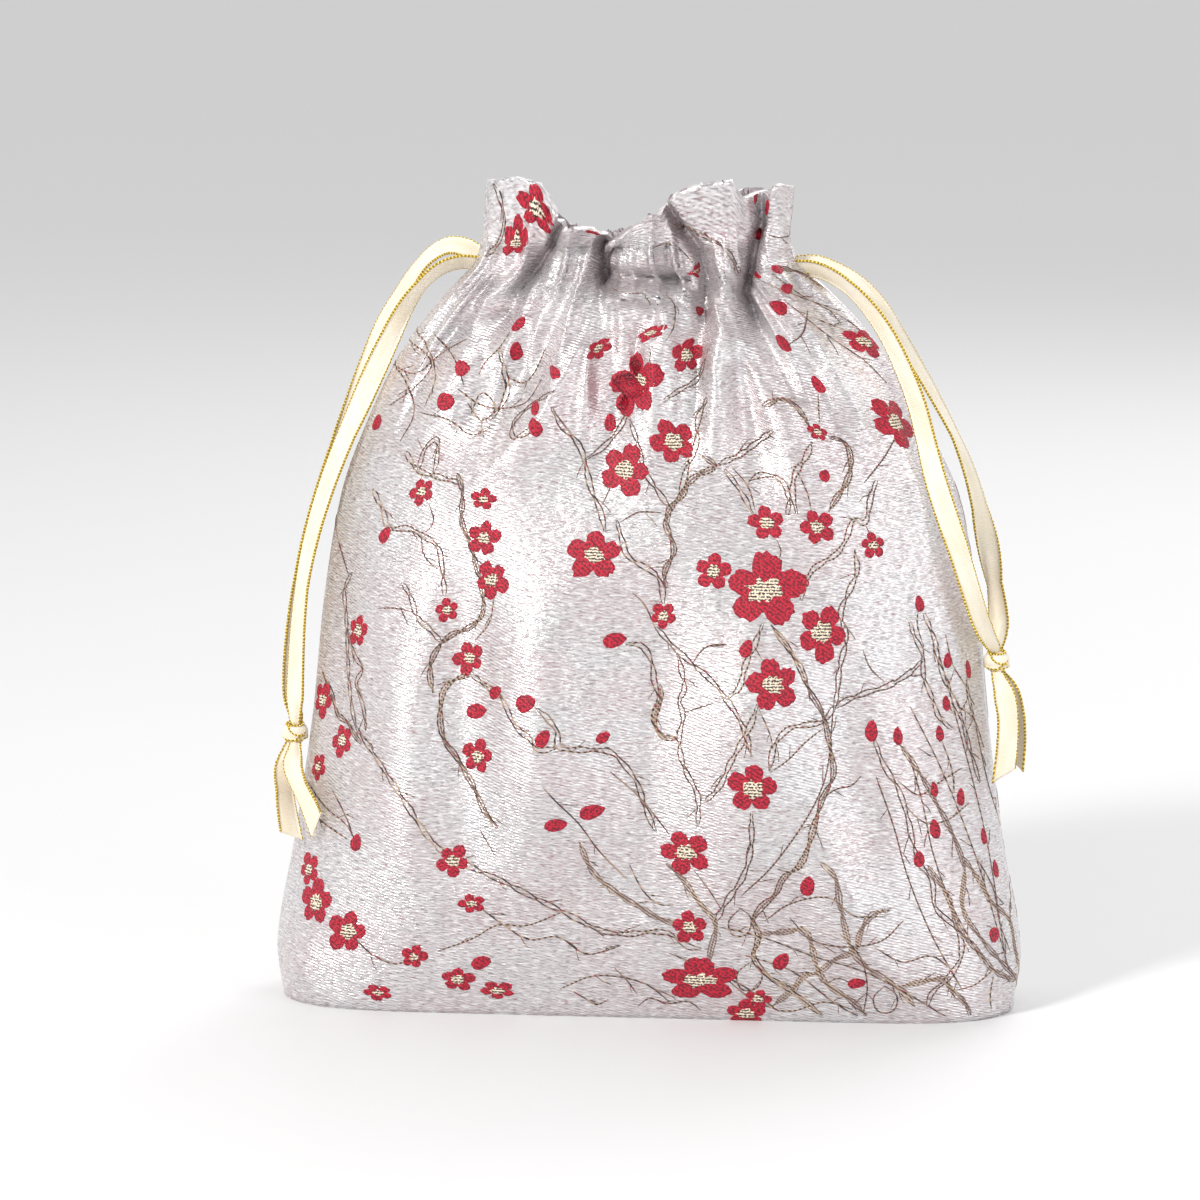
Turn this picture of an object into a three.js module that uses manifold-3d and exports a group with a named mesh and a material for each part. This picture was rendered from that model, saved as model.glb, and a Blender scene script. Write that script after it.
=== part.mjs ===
// Kinchaku drawstring pouch: two brocade panels sewn along the sides and the middle of the base, gathered at
// the neck by two satin ribbons. Each ribbon comes out at its own side and its two ends are knotted together.
// Millimetres, +Z up, +X to the pouch's right as seen from the front, front towards -Y.
// Origin: the middle of the base, on the surface that the pouch stands on.
import * as THREE from 'three';
import { mergeVertices } from 'three/addons/utils/BufferGeometryUtils.js';
import Module from 'manifold-3d';

const CLOTH_THICKNESS = 1.4; // brocade with its turned-in layer
const SEAM_GAP = 0.3; // left open between the two panels all along their seams
const NECK_HEIGHT = 212; // middle of the ribbon casing
const FRILL_FOOT = 215; // above this the cloth's levels follow the frill's wavy top edge
const FRILL_TOP = 236;
const RIBBON_WIDTH = 6;
const RIBBON_THICKNESS = 0.9;
const RIBBON_STEP = 8; // along the ribbon, between its cross-sections
const KNOT_RADIUS = 3.2;
const KNOT_GAP = 0.4; // between a knot and the ribbon ends that meet it
// The opening where the ribbons leave the casing.
const EXIT_SLOT = { width: 6.4, low: 203.6, high: 217, inward: 3.5, outward: 9 };

// Outline of the filled pouch by height: half width, sideways lean, half depth, and the two exponents of the
// section y = depth * (1 - |x / width| ^ square) ^ round, which is boxy at the base and oval at the neck.
const OUTLINE = [
  { z: 0, width: 105, lean: 0, depth: 29, square: 9, round: 0.5 },
  { z: 16, width: 107, lean: 0, depth: 34, square: 6, round: 0.54 },
  { z: 45, width: 102, lean: 0, depth: 39, square: 4.4, round: 0.6 },
  { z: 80, width: 97, lean: 0.3, depth: 42, square: 3.5, round: 0.65 },
  { z: 115, width: 93.4, lean: 0.3, depth: 40, square: 3, round: 0.69 },
  { z: 145, width: 88, lean: 0.2, depth: 35, square: 2.7, round: 0.7 },
  { z: 165, width: 79.5, lean: -0.8, depth: 29, square: 2.5, round: 0.68 },
  { z: 182, width: 70.5, lean: -1.6, depth: 23.5, square: 2.4, round: 0.64 },
  { z: 194, width: 61.5, lean: -2.2, depth: 19, square: 2.4, round: 0.58 },
  { z: 203, width: 53, lean: -2.8, depth: 16, square: 2.5, round: 0.52 },
  { z: 209, width: 46.5, lean: -3.4, depth: 14.5, square: 2.7, round: 0.48 },
  { z: 215, width: 44, lean: -3.6, depth: 14, square: 2.8, round: 0.46 },
  { z: 221, width: 43.5, lean: -3.4, depth: 15, square: 2.8, round: 0.46 },
  { z: 228, width: 43.5, lean: -3, depth: 16.5, square: 2.8, round: 0.48 },
  { z: 236, width: 43, lean: -2.6, depth: 18, square: 2.8, round: 0.5 },
];

// Gathers pressed into each panel at the neck: place across the neck as a share of its half width, how deep
// the valley is, its half width, and how far below the neck it fades out.
const GATHERS = {
  front: [
    { at: -0.57, depth: 7.5, reach: 3, fade: 34 },
    { at: -0.2, depth: 7.5, reach: 3, fade: 42 },
    { at: 0.08, depth: 5.5, reach: 2.6, fade: 30 },
    { at: 0.46, depth: 8, reach: 3, fade: 46 },
    { at: 0.74, depth: 6, reach: 2.6, fade: 36 },
  ],
  back: [
    { at: -0.7, depth: 6, reach: 2.8, fade: 36 },
    { at: -0.38, depth: 7.5, reach: 3, fade: 46 },
    { at: -0.05, depth: 7, reach: 3, fade: 36 },
    { at: 0.28, depth: 7.5, reach: 3, fade: 44 },
    { at: 0.62, depth: 6.5, reach: 2.8, fade: 34 },
  ],
};

// The frill's top edge dips where it folds over in the middle of the front.
const FRILL_DIP = { front: { at: 0.05, depth: 7, reach: 0.45 }, back: { at: 0.2, depth: 5, reach: 0.5 } };

const COLUMNS = 56; // quads across one panel
// Odd: it keeps the inner face straight behind the gathers and steps it in at the sides.
const SIDE_WALL_POWER = 9;
const BASE_EDGE = [{ z: 0, inset: 1.6 }, { z: 1.2, inset: 0.3 }]; // small roll of cloth along the base
const SIDES = { front: -1, back: 1 };

// Centre lines of the free ribbons, from the casing or the knot to the other end.
const ROUTES = {
  left_ribbon_front: [
    [-47.5, -1, 209], [-53, -1.4, 209.4], [-58.5, -2.5, 207.6], [-64, -3.5, 202.8], [-68.4, -4.2, 196.5],
    [-72.4, -5, 188.5], [-76.8, -5.6, 179], [-81, -6, 169.5], [-85.6, -6.4, 159], [-90.4, -6.8, 146.5],
    [-94.4, -7, 133.5], [-97.2, -7, 121], [-98.8, -7, 108.5], [-99.8, -6.8, 94],
    [-100.2, -6.6, 84], [-100.3, -6.4, 78.7],
  ],
  left_ribbon_back: [
    [-47.5, 1, 210.5], [-52, 1.5, 213.2], [-57, 2.4, 213.6], [-61.8, 3.2, 211], [-66, 3.6, 206.5],
    [-70.2, 3.8, 200], [-74.8, 3.2, 192], [-79.4, 2.4, 180], [-83.4, 1.8, 169], [-87.6, 1.2, 158],
    [-92.2, 0.6, 145], [-96, 0, 132.5], [-98.8, -0.8, 120], [-100.6, -1.8, 107], [-101.6, -2.6, 92],
    [-101.2, -3, 83], [-100.2, -3.6, 78.7],
  ],
  right_ribbon_front: [
    [41, -1, 208.4], [46, -1.6, 208.4], [51.8, -3.2, 206.4], [57.4, -5.4, 202.6], [62.6, -7.6, 197.4],
    [67.4, -9.6, 190.6], [71.8, -11, 182], [75.6, -12.6, 172.5], [78.4, -14.4, 162.5], [81, -16, 152.5],
    [84.4, -17, 142], [88, -17, 131.5], [91.2, -16, 121], [94.2, -13.4, 111.5], [96.8, -9.8, 105.5],
    [98, -7.4, 102.9],
  ],
  right_ribbon_back: [
    [41, 1, 209], [46, 1.6, 209.4], [52, 3, 207.4], [58.4, 4.6, 203.6], [64.2, 6, 197.6], [69.8, 6.8, 189],
    [75.6, 7, 179.5], [81, 7, 170], [86, 6.6, 160.5], [90.2, 5.8, 150], [93.2, 4.8, 139.5],
    [95.6, 3.4, 129.5], [97.4, 1.6, 120], [98.6, -0.8, 111.5], [98.8, -3, 106], [98.4, -4.8, 102.9],
  ],
  left_tail_front: [
    [-100.2, -7.4, 71.8], [-100, -12.6, 67.6], [-97.2, -18.4, 62.4],
    [-93.8, -22.6, 57.4], [-91.2, -25.8, 52.6],
  ],
  left_tail_back: [
    [-101.6, -4.8, 71.8], [-103, -7.2, 66], [-102.6, -11.2, 60],
    [-101.2, -15.6, 54], [-99.4, -19.4, 48],
  ],
  right_tail_front: [
    [98.8, -7.4, 95.9], [100.6, -9, 91], [101.8, -10.6, 84.5],
    [101.8, -12, 76.5], [101, -12.8, 68],
  ],
  right_tail_back: [
    [99, -4.6, 95.9], [101.8, -4.6, 91.5], [104, -5, 85],
    [104.8, -5.8, 77.5], [104.6, -6.6, 70],
  ],
};
const KNOTS = { left_knot: [-100.4, -5.4, 75.2], right_knot: [98.4, -6, 99.4] };

const brocade = () => new THREE.MeshStandardMaterial({ color: 0xd3c8cc, roughness: 0.42, metalness: 0.15 });
const satin = () => new THREE.MeshStandardMaterial({ color: 0xf7edd2, roughness: 0.32, metalness: 0 });

const wasm = await Module();
wasm.setup();

// Reads the outline at a height, easing between the two stations around it.
function outlineAt(z) {
  const last = OUTLINE.length - 1;
  const height = THREE.MathUtils.clamp(z, OUTLINE[0].z, OUTLINE[last].z);
  const upper = Math.max(1, OUTLINE.findIndex((station) => station.z >= height));
  const [before, low, high, after] = [upper - 2, upper - 1, upper, upper + 1].map(
    (index) => OUTLINE[THREE.MathUtils.clamp(index, 0, last)],
  );
  const span = high.z - low.z;
  const share = (height - low.z) / span;
  const ease = (key) => {
    const slopeLow = (high[key] - before[key]) / (high.z - before.z);
    const slopeHigh = (after[key] - low[key]) / (after.z - low.z);
    const square = share * share;
    const cube = square * share;
    return (
      (2 * cube - 3 * square + 1) * low[key] +
      (cube - 2 * square + share) * slopeLow * span +
      (3 * square - 2 * cube) * high[key] +
      (cube - square) * slopeHigh * span
    );
  };
  return {
    width: ease('width'),
    lean: ease('lean'),
    depth: ease('depth'),
    square: ease('square'),
    round: ease('round'),
  };
}

// How far the gathers press a panel in at one place across it.
function gatherDepth(side, across, z, width) {
  let depth = 0;
  for (const gather of GATHERS[side]) {
    const below = THREE.MathUtils.smoothstep(z, NECK_HEIGHT - gather.fade, NECK_HEIGHT);
    const spread = gather.reach * (1 + 1.6 * (1 - below));
    const offset = (across - gather.at) * width;
    depth += gather.depth * below * Math.exp(-((offset / spread) ** 2));
  }
  return depth;
}

// A point of a panel's outer face, or with inside true, of its inner face. across runs from -1 at the left
// seam to 1 at the right seam.
function panelPoint(side, across, z, inset, inside) {
  const { width, lean, depth, square, round } = outlineAt(z);
  const bow = (1 - Math.abs(across) ** square) ** round;
  const outer = Math.max(0, (depth - inset) * bow - gatherDepth(side, across, z, width));
  const wall = CLOTH_THICKNESS * (1 - Math.exp(-outer / CLOTH_THICKNESS));
  const reach = inside ? outer - wall : outer;
  const sideWall = inside ? CLOTH_THICKNESS * across ** SIDE_WALL_POWER : 0;
  return [lean + across * (width - inset) - sideWall, SIDES[side] * reach, z];
}

function frillTop(side, across) {
  const { at, depth, reach } = FRILL_DIP[side];
  return FRILL_TOP - depth * Math.exp(-(((across - at) / reach) ** 2));
}

// Rows of a closed skin, from the base up. The frill's rows follow its wavy top edge.
function skinRows(inside) {
  const foot = inside
    ? [{ z: CLOTH_THICKNESS, inset: 1.6 }, { z: CLOTH_THICKNESS + 1.2, inset: 0.3 }]
    : BASE_EDGE;
  const body = OUTLINE.filter(({ z }) => z > 0 && z <= FRILL_FOOT).map(({ z }) => ({ z, inset: 0 }));
  const frill = [0.33, 0.66, 1].map((share) => ({ share, inset: 0 }));
  const rim = inside ? [{ share: 1, inset: 0, lift: 5 }] : [];
  return [...foot, ...body, ...frill, ...rim];
}

// The whole pouch as one closed solid of its outer face, or of the space inside it.
function pouchSkin(inside) {
  const rows = skinRows(inside);
  const acrossAt = (column) => Math.sin(((column / COLUMNS) * 2 - 1) * (Math.PI / 2));
  const ring = COLUMNS * 2;
  const vertices = [];
  for (const row of rows) {
    for (let step = 0; step < ring; step += 1) {
      const side = step < COLUMNS ? 'front' : 'back';
      const column = step < COLUMNS ? step : ring - step;
      const across = acrossAt(column);
      const frill = THREE.MathUtils.lerp(FRILL_FOOT, frillTop(side, across), row.share ?? 0);
      const z = row.z ?? frill;
      const [x, y] = panelPoint(side, across, z, row.inset, inside);
      vertices.push(x, y, z + (row.lift ?? 0));
    }
  }
  const faces = [];
  for (let row = 0; row + 1 < rows.length; row += 1) {
    for (let step = 0; step < ring; step += 1) {
      const here = row * ring + step;
      const next = row * ring + ((step + 1) % ring);
      faces.push(here, next, next + ring, here, next + ring, here + ring);
    }
  }
  const top = (rows.length - 1) * ring;
  for (let column = 0; column < COLUMNS; column += 1) {
    const [front, frontNext] = [column, column + 1];
    const [back, backNext] = [(ring - column) % ring, ring - column - 1];
    faces.push(front, backNext, frontNext, front, back, backNext);
    faces.push(top + front, top + frontNext, top + backNext, top + front, top + backNext, top + back);
  }
  const kept = [];
  for (let face = 0; face < faces.length; face += 3) {
    const [a, b, c] = faces.slice(face, face + 3);
    if (a !== b && b !== c && c !== a) {
      kept.push(a, b, c);
    }
  }
  return new THREE.BufferGeometry()
    .setAttribute('position', new THREE.Float32BufferAttribute(vertices, 3))
    .setIndex(kept);
}

function toSolid(geometry) {
  const bare = new THREE.BufferGeometry();
  bare.setAttribute('position', geometry.getAttribute('position'));
  bare.setIndex(geometry.index);
  const merged = mergeVertices(bare, 1e-4);
  return new wasm.Manifold(
    new wasm.Mesh({
      numProp: 3,
      vertProperties: new Float32Array(merged.attributes.position.array),
      triVerts: new Uint32Array(merged.index.array),
    }),
  );
}

function toGeometry(solid) {
  const { vertProperties, triVerts } = solid.getMesh();
  const geometry = new THREE.BufferGeometry();
  geometry.setAttribute('position', new THREE.BufferAttribute(new Float32Array(vertProperties), 3));
  geometry.setIndex(new THREE.BufferAttribute(new Uint32Array(triVerts), 1));
  geometry.computeVertexNormals();
  return geometry;
}

function boxSolid(low, high) {
  const size = high.map((value, axis) => value - low[axis]);
  const centre = high.map((value, axis) => (value + low[axis]) / 2);
  return toSolid(new THREE.BoxGeometry(...size).translate(...centre));
}

// The ribbons' way out of the casing at one side seam.
function exitSlot(direction) {
  const { width, lean } = outlineAt(NECK_HEIGHT);
  const inner = lean + direction * (width - EXIT_SLOT.inward);
  const outer = lean + direction * (width + EXIT_SLOT.outward);
  return boxSolid(
    [Math.min(inner, outer), -EXIT_SLOT.width / 2, EXIT_SLOT.low],
    [Math.max(inner, outer), EXIT_SLOT.width / 2, EXIT_SLOT.high],
  );
}

function panels() {
  const shell = toSolid(pouchSkin(false))
    .subtract(toSolid(pouchSkin(true)))
    .subtract(exitSlot(-1))
    .subtract(exitSlot(1));
  const far = 2 * FRILL_TOP; // well past the pouch in every direction
  return Object.entries(SIDES).map(([name, side]) => {
    const [near, deep] = [(side * SEAM_GAP) / 2, side * far];
    const half = boxSolid([-far, Math.min(near, deep), -far], [far, Math.max(near, deep), far]);
    const mesh = new THREE.Mesh(toGeometry(shell.intersect(half)), brocade());
    mesh.name = `${name}_panel`;
    return mesh;
  });
}

// The outline of a flat ribbon's cross-section, with its edges rounded off, turned by an angle.
function ribbonSection(turn) {
  const corner = RIBBON_THICKNESS / 2;
  const edge = RIBBON_WIDTH / 2;
  const quarter = [[corner, edge - corner], [corner / 2, edge]];
  const half = [...quarter, ...quarter.map(([x, y]) => [-x, y]).reverse()];
  const outline = [...half, ...half.map(([x, y]) => [-x, -y])];
  const origin = new THREE.Vector2();
  return new THREE.Shape(outline.map(([x, y]) => new THREE.Vector2(x, y).rotateAround(origin, turn)));
}

// A ribbon along its centre line, with its flat side towards the front where it starts.
function ribbon(name, points) {
  const path = new THREE.CatmullRomCurve3(points.map((point) => new THREE.Vector3(...point)));
  const steps = Math.max(4, Math.round(path.getLength() / RIBBON_STEP));
  const { normals, binormals } = path.computeFrenetFrames(steps, false);
  const front = new THREE.Vector3(0, -1, 0);
  const turn = Math.atan2(front.dot(binormals[0]), front.dot(normals[0]));
  const options = { steps, bevelEnabled: false, extrudePath: path };
  const mesh = new THREE.Mesh(new THREE.ExtrudeGeometry(ribbonSection(turn), options), satin());
  mesh.name = name;
  return mesh;
}

function knot(name, place) {
  const profile = [];
  const rings = 8;
  for (let ring = 0; ring <= rings; ring += 1) {
    const angle = (ring / rings - 0.5) * Math.PI;
    const radius = ring === 0 || ring === rings ? 0 : KNOT_RADIUS * Math.cos(angle);
    profile.push(new THREE.Vector2(radius, (KNOT_RADIUS - KNOT_GAP / 2) * Math.sin(angle)));
  }
  const mesh = new THREE.Mesh(new THREE.LatheGeometry(profile, 12), satin());
  mesh.name = name;
  mesh.rotation.x = Math.PI / 2;
  mesh.position.set(...place);
  return mesh;
}

const pouch = new THREE.Group();
pouch.add(...panels());
for (const [name, points] of Object.entries(ROUTES)) {
  pouch.add(ribbon(name, points));
}
for (const [name, place] of Object.entries(KNOTS)) {
  pouch.add(knot(name, place));
}

export default pouch;
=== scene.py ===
"""A filled kinchaku drawstring pouch: brocade panels gathered by two knotted satin ribbons.

The cloth is worked out on a grid whose columns are threads of the cloth, so everything woven into it, from
the flowers to the twigs, is laid out in flat cloth and follows the folds. Sizes are in millimetres until a
mesh is made, and meshes are in metres in the frame's own coordinates.
"""
import math

import bpy
import numpy as np
from mathutils import Matrix, Vector, noise


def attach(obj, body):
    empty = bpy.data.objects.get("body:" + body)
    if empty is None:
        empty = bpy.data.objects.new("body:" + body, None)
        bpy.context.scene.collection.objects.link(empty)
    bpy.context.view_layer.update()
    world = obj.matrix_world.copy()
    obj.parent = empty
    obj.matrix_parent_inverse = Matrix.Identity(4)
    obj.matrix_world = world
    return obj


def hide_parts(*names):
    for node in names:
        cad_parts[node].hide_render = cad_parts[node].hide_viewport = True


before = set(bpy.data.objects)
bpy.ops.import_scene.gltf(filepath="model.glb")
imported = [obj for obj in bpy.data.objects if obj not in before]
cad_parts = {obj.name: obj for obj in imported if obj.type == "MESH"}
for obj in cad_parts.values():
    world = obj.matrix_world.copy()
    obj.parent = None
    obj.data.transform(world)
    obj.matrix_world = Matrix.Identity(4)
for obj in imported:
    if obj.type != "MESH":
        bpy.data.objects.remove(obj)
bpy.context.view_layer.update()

MM = 0.001

# ---------------------------------------------------------------- the camera

CAMERA_AZIMUTH = math.radians(6)
CAMERA_ELEVATION = math.radians(9)
CAMERA_DISTANCE = 1500.0
FRAME_WIDTH = 342.9  # what the frame spans at the pouch
FRAME_CENTRE = (-13.7, 112.7)  # to the right of and above the pouch's origin, in the picture plane
SENSOR_WIDTH = 36.0

SIN_A, COS_A = math.sin(CAMERA_AZIMUTH), math.cos(CAMERA_AZIMUTH)
SIN_E, COS_E = math.sin(CAMERA_ELEVATION), math.cos(CAMERA_ELEVATION)
RIGHT = np.array((COS_A, SIN_A, 0))
UP = np.array((-SIN_A * SIN_E, COS_A * SIN_E, COS_E))
AHEAD = np.array((-SIN_A * COS_E, COS_A * COS_E, -SIN_E))
TARGET = RIGHT * FRAME_CENTRE[0] + UP * FRAME_CENTRE[1]


def make_camera():
    """Looks at the pouch's front from a little to the right and above, through a long lens."""
    data = bpy.data.cameras.new("camera")
    data.sensor_width = SENSOR_WIDTH
    data.lens = SENSOR_WIDTH * CAMERA_DISTANCE / FRAME_WIDTH
    data.clip_start = 0.05
    camera = bpy.data.objects.new("camera", data)
    camera.location = (TARGET - AHEAD * CAMERA_DISTANCE) * MM
    camera.rotation_euler = Vector(AHEAD).to_track_quat("-Z", "Y").to_euler()
    bpy.context.collection.objects.link(camera)
    bpy.context.scene.camera = camera


def seen(points):
    """Where points show from the camera, in millimetres at its target, to the right and up."""
    away = np.asarray(points, float) - TARGET
    nearer = CAMERA_DISTANCE / (CAMERA_DISTANCE + away @ AHEAD)
    return np.stack([away @ RIGHT * nearer, away @ UP * nearer], axis=-1)


# ---------------------------------------------------------------- node helpers


WEAVE_MAP = "weave"
WAVE_PER_UNIT = math.pi / 10  # the Wave node's Scale that gives one band a unit
UV_UNIT = 100.0  # one UV unit is this many millimetres of flat cloth


class Nodes:
    """Short ways to add and join shader nodes in one material."""

    def __init__(self, name):
        self.material = bpy.data.materials.new(name)
        self.material.use_nodes = True
        self.tree = self.material.node_tree
        self.shader = self.tree.nodes["Principled BSDF"]

    def node(self, kind, **settings):
        made = self.tree.nodes.new(kind)
        for key, value in settings.items():
            setattr(made, key, value)
        return made

    def join(self, output, socket):
        self.tree.links.new(output, socket)

    def value(self, operation, first, second):
        """A Math node of an output and a number or another output."""
        made = self.node("ShaderNodeMath", operation=operation)
        self.join(first, made.inputs[0])
        if isinstance(second, (int, float)):
            made.inputs[1].default_value = second
        else:
            self.join(second, made.inputs[1])
        return made.outputs[0]

    def woven(self, scale, turn=0.0):
        """Flat cloth coordinates in millimetres, scaled and turned."""
        uv = self.node("ShaderNodeUVMap", uv_map=WEAVE_MAP)
        mapping = self.node("ShaderNodeMapping")
        mapping.inputs["Scale"].default_value = (scale[0] * UV_UNIT, scale[1] * UV_UNIT, 1)
        mapping.inputs["Rotation"].default_value = (0, 0, turn)
        self.join(uv.outputs["UV"], mapping.inputs["Vector"])
        return mapping.outputs["Vector"]

    def noise(self, vector, detail=1.0):
        """Smooth noise, about one bump to each unit of the vector."""
        made = self.node("ShaderNodeTexNoise")
        made.inputs["Scale"].default_value = 1.0
        made.inputs["Detail"].default_value = detail
        self.join(vector, made.inputs["Vector"])
        return made.outputs["Fac"]

    def wave(self, vector, direction="Y", distortion=0.0, detail=0.0):
        """Bands, one to each unit of the vector."""
        made = self.node("ShaderNodeTexWave", bands_direction=direction)
        made.inputs["Scale"].default_value = WAVE_PER_UNIT
        made.inputs["Distortion"].default_value = distortion
        made.inputs["Detail"].default_value = detail
        self.join(vector, made.inputs["Vector"])
        return made.outputs["Fac"]

    def step(self, source, low, high):
        """0 below low, 1 above high, smooth between."""
        made = self.node("ShaderNodeMapRange", interpolation_type="SMOOTHSTEP")
        made.inputs["From Min"].default_value = low
        made.inputs["From Max"].default_value = high
        self.join(source, made.inputs["Value"])
        return made.outputs["Result"]

    def mix(self, share, first, second):
        """The first colour, and the second by its share. Each is three numbers or an output."""
        made = self.node("ShaderNodeMix", data_type="RGBA")
        self.join(share, made.inputs[0])
        for socket, source in ((made.inputs[6], first), (made.inputs[7], second)):
            if isinstance(source, tuple):
                socket.default_value = (*source, 1)
            else:
                self.join(source, socket)
        return made.outputs[2]

    def finish(self, colour, height=None, height_mm=0.1, **sockets):
        """Joins the colour and bump, and sets the sockets that are one number all over."""
        self.join(colour, self.shader.inputs["Base Color"])
        for name, value in sockets.items():
            socket = self.shader.inputs[name.replace("_", " ")]
            if isinstance(value, (int, float, tuple)):
                socket.default_value = value
            else:
                self.join(value, socket)
        if height is not None:
            bump = self.node("ShaderNodeBump")
            bump.inputs["Strength"].default_value = 1.0
            bump.inputs["Distance"].default_value = height_mm * MM
            self.join(height, bump.inputs["Height"])
            self.join(bump.outputs["Normal"], self.shader.inputs["Normal"])
        return self.material


# ---------------------------------------------------------------- materials


def brocade_material():
    """Silver and lilac satin ground: short weft floats over a fine twill, with burgundy and grey ticks."""
    n = Nodes("brocade_ground")
    floats = n.noise(n.woven((0.30, 1.5)), detail=1.5)
    floats_fine = n.noise(n.woven((0.5, 2.2), 0.02), detail=1.5)
    twill = n.wave(n.woven((0.8, 1.25), 0.45), distortion=1.6, detail=1.5)
    shade = n.noise(n.woven((0.03, 0.045)), detail=2.0)
    ticks = n.noise(n.woven((0.42, 1.9), 0.01), detail=0.5)
    tick_zone = n.noise(n.woven((0.06, 0.08)), detail=1.5)

    base = n.mix(n.step(shade, 0.38, 0.62), (0.68, 0.60, 0.61), (0.68, 0.66, 0.67))
    bright = n.mix(n.step(floats, 0.48, 0.66), base, (0.88, 0.865, 0.87))
    dim_share = n.value("MULTIPLY", n.step(floats_fine, 0.54, 0.66), 0.55)
    dim = n.mix(dim_share, bright, (0.36, 0.31, 0.325))
    twilled = n.mix(n.value("MULTIPLY", n.step(twill, 0.55, 0.9), 0.35), dim, (0.90, 0.87, 0.885))
    red_share = n.value("MULTIPLY", n.step(ticks, 0.62, 0.68), n.step(tick_zone, 0.40, 0.60))
    red = n.mix(n.value("MULTIPLY", red_share, 0.45), twilled, (0.27, 0.05, 0.085))
    grey_share = n.value("MULTIPLY", n.step(ticks, 0.40, 0.34), n.step(tick_zone, 0.60, 0.42))
    colour = n.mix(n.value("MULTIPLY", grey_share, 0.4), red, (0.17, 0.15, 0.165))

    height = n.value("ADD", n.value("MULTIPLY", floats, 0.9), n.value("MULTIPLY", floats_fine, 0.7))
    height = n.value("ADD", height, n.value("MULTIPLY", twill, 0.3))
    rough = n.value("ADD", n.value("MULTIPLY", floats, 0.3), 0.20)
    return n.finish(colour, height, 0.36, Roughness=rough, Metallic=0.72, Anisotropic=0.5)


def lining_material():
    """The brocade's wrong side: loose grey and burgundy floats without sheen."""
    n = Nodes("brocade_wrong_side")
    floats = n.noise(n.woven((0.35, 2.8)), detail=1.5)
    threads = n.wave(n.woven((0.8, 0.1)), direction="X", distortion=2.0, detail=1.0)
    base = n.mix(n.step(floats, 0.42, 0.62), (0.30, 0.27, 0.285), (0.52, 0.48, 0.50))
    colour = n.mix(n.value("MULTIPLY", n.step(threads, 0.6, 0.9), 0.3), base, (0.30, 0.12, 0.15))
    return n.finish(colour, floats, 0.25, Roughness=0.7)


def petal_material():
    """Crimson pattern weft in a coarse twill, darker where its bump is low: the weft's own dark and bright
    threads, with painted shade in its grooves.
    """
    n = Nodes("crimson_pattern_weft")
    twill = n.wave(n.woven((0.9, 0.95), 0.6), distortion=2.2, detail=1.5)
    cells = n.noise(n.woven((1.25, 1.5)), detail=1.0)
    depth = n.value("ADD", n.value("MULTIPLY", twill, 0.1), n.value("MULTIPLY", cells, 0.9))
    # painted shade: the colour is darkest where the bump height is lowest, in the twill's grooves, on top of
    # the threads' own dark and bright crimson
    colour = n.mix(n.step(depth, 0.40, 0.60), (0.17, 0.002, 0.014), (0.56, 0.007, 0.034))
    return n.finish(colour, depth, 0.5, Roughness=0.5)


def heart_material():
    """A flower's middle: cream and tan knots with dark brown between them."""
    n = Nodes("cream_stamen_weft")
    rows = n.wave(n.woven((0.2, 1.15), 0.12), distortion=1.4, detail=1.0)
    knots = n.noise(n.woven((1.5, 1.9)), detail=1.0)
    mixed = n.value("ADD", n.value("MULTIPLY", rows, 0.28), n.value("MULTIPLY", knots, 0.8))
    light = n.mix(n.step(knots, 0.4, 0.6), (0.62, 0.47, 0.32), (0.95, 0.86, 0.70))
    colour = n.mix(n.step(mixed, 0.44, 0.56), (0.05, 0.025, 0.02), light)
    return n.finish(colour, mixed, 0.4, Roughness=0.55)


def twig_material():
    """A twig's outline yarns: dark brown, tan and a little burgundy, twisted along it."""
    n = Nodes("twig_weft")
    twist = n.wave(n.woven((0.7, 0.85), 0.9), distortion=2.5, detail=1.5)
    along = n.noise(n.woven((0.5, 0.8)), detail=1.0)
    patch = n.noise(n.woven((0.035, 0.035)), detail=1.0)
    pale = n.mix(n.step(patch, 0.42, 0.58), (0.27, 0.175, 0.125), (0.46, 0.33, 0.225))
    dark = n.mix(n.step(along, 0.55, 0.62), (0.05, 0.032, 0.03), (0.25, 0.02, 0.04))
    colour = n.mix(n.step(twist, 0.42, 0.64), dark, pale)
    return n.finish(colour, twist, 0.3, Roughness=0.45)


def tan_material():
    """Pale tan and pink weft that fills a branch and floats beside it."""
    n = Nodes("tan_weft")
    twist = n.wave(n.woven((1.1, 1.3), 0.7), distortion=2.0, detail=1.0)
    patch = n.noise(n.woven((0.07, 0.07)), detail=1.0)
    pale = n.mix(n.step(patch, 0.4, 0.6), (0.36, 0.27, 0.23), (0.58, 0.45, 0.32))
    colour = n.mix(n.step(twist, 0.32, 0.6), (0.18, 0.10, 0.085), pale)
    return n.finish(colour, twist, 0.25, Roughness=0.5)


def satin_material():
    """Cream satin ribbon: fine ribs across it and a soft gloss."""
    n = Nodes("cream_satin")
    ribs = n.wave(n.woven((1.8, 0.1)), direction="X", distortion=0.6, detail=1.0)
    drift = n.noise(n.woven((0.08, 0.3)), detail=1.5)
    base = n.mix(n.step(drift, 0.35, 0.65), (0.85, 0.755, 0.575), (0.89, 0.82, 0.68))
    colour = n.mix(n.value("MULTIPLY", ribs, 0.12), base, (0.80, 0.70, 0.52))
    return n.finish(colour, ribs, 0.06, Roughness=0.33, Sheen_Weight=0.25, Anisotropic=0.3)


def gold_material():
    """Gold thread along the ribbon's edges: metallic loops with gaps."""
    n = Nodes("gold_thread")
    loops = n.wave(n.woven((1.05, 0.4), 0.15), direction="X", distortion=1.2, detail=1.0)
    colour = n.mix(n.step(loops, 0.22, 0.62), (0.42, 0.25, 0.03), (0.98, 0.74, 0.12))
    return n.finish(colour, loops, 0.4, Roughness=0.32, Metallic=0.5)


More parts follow.
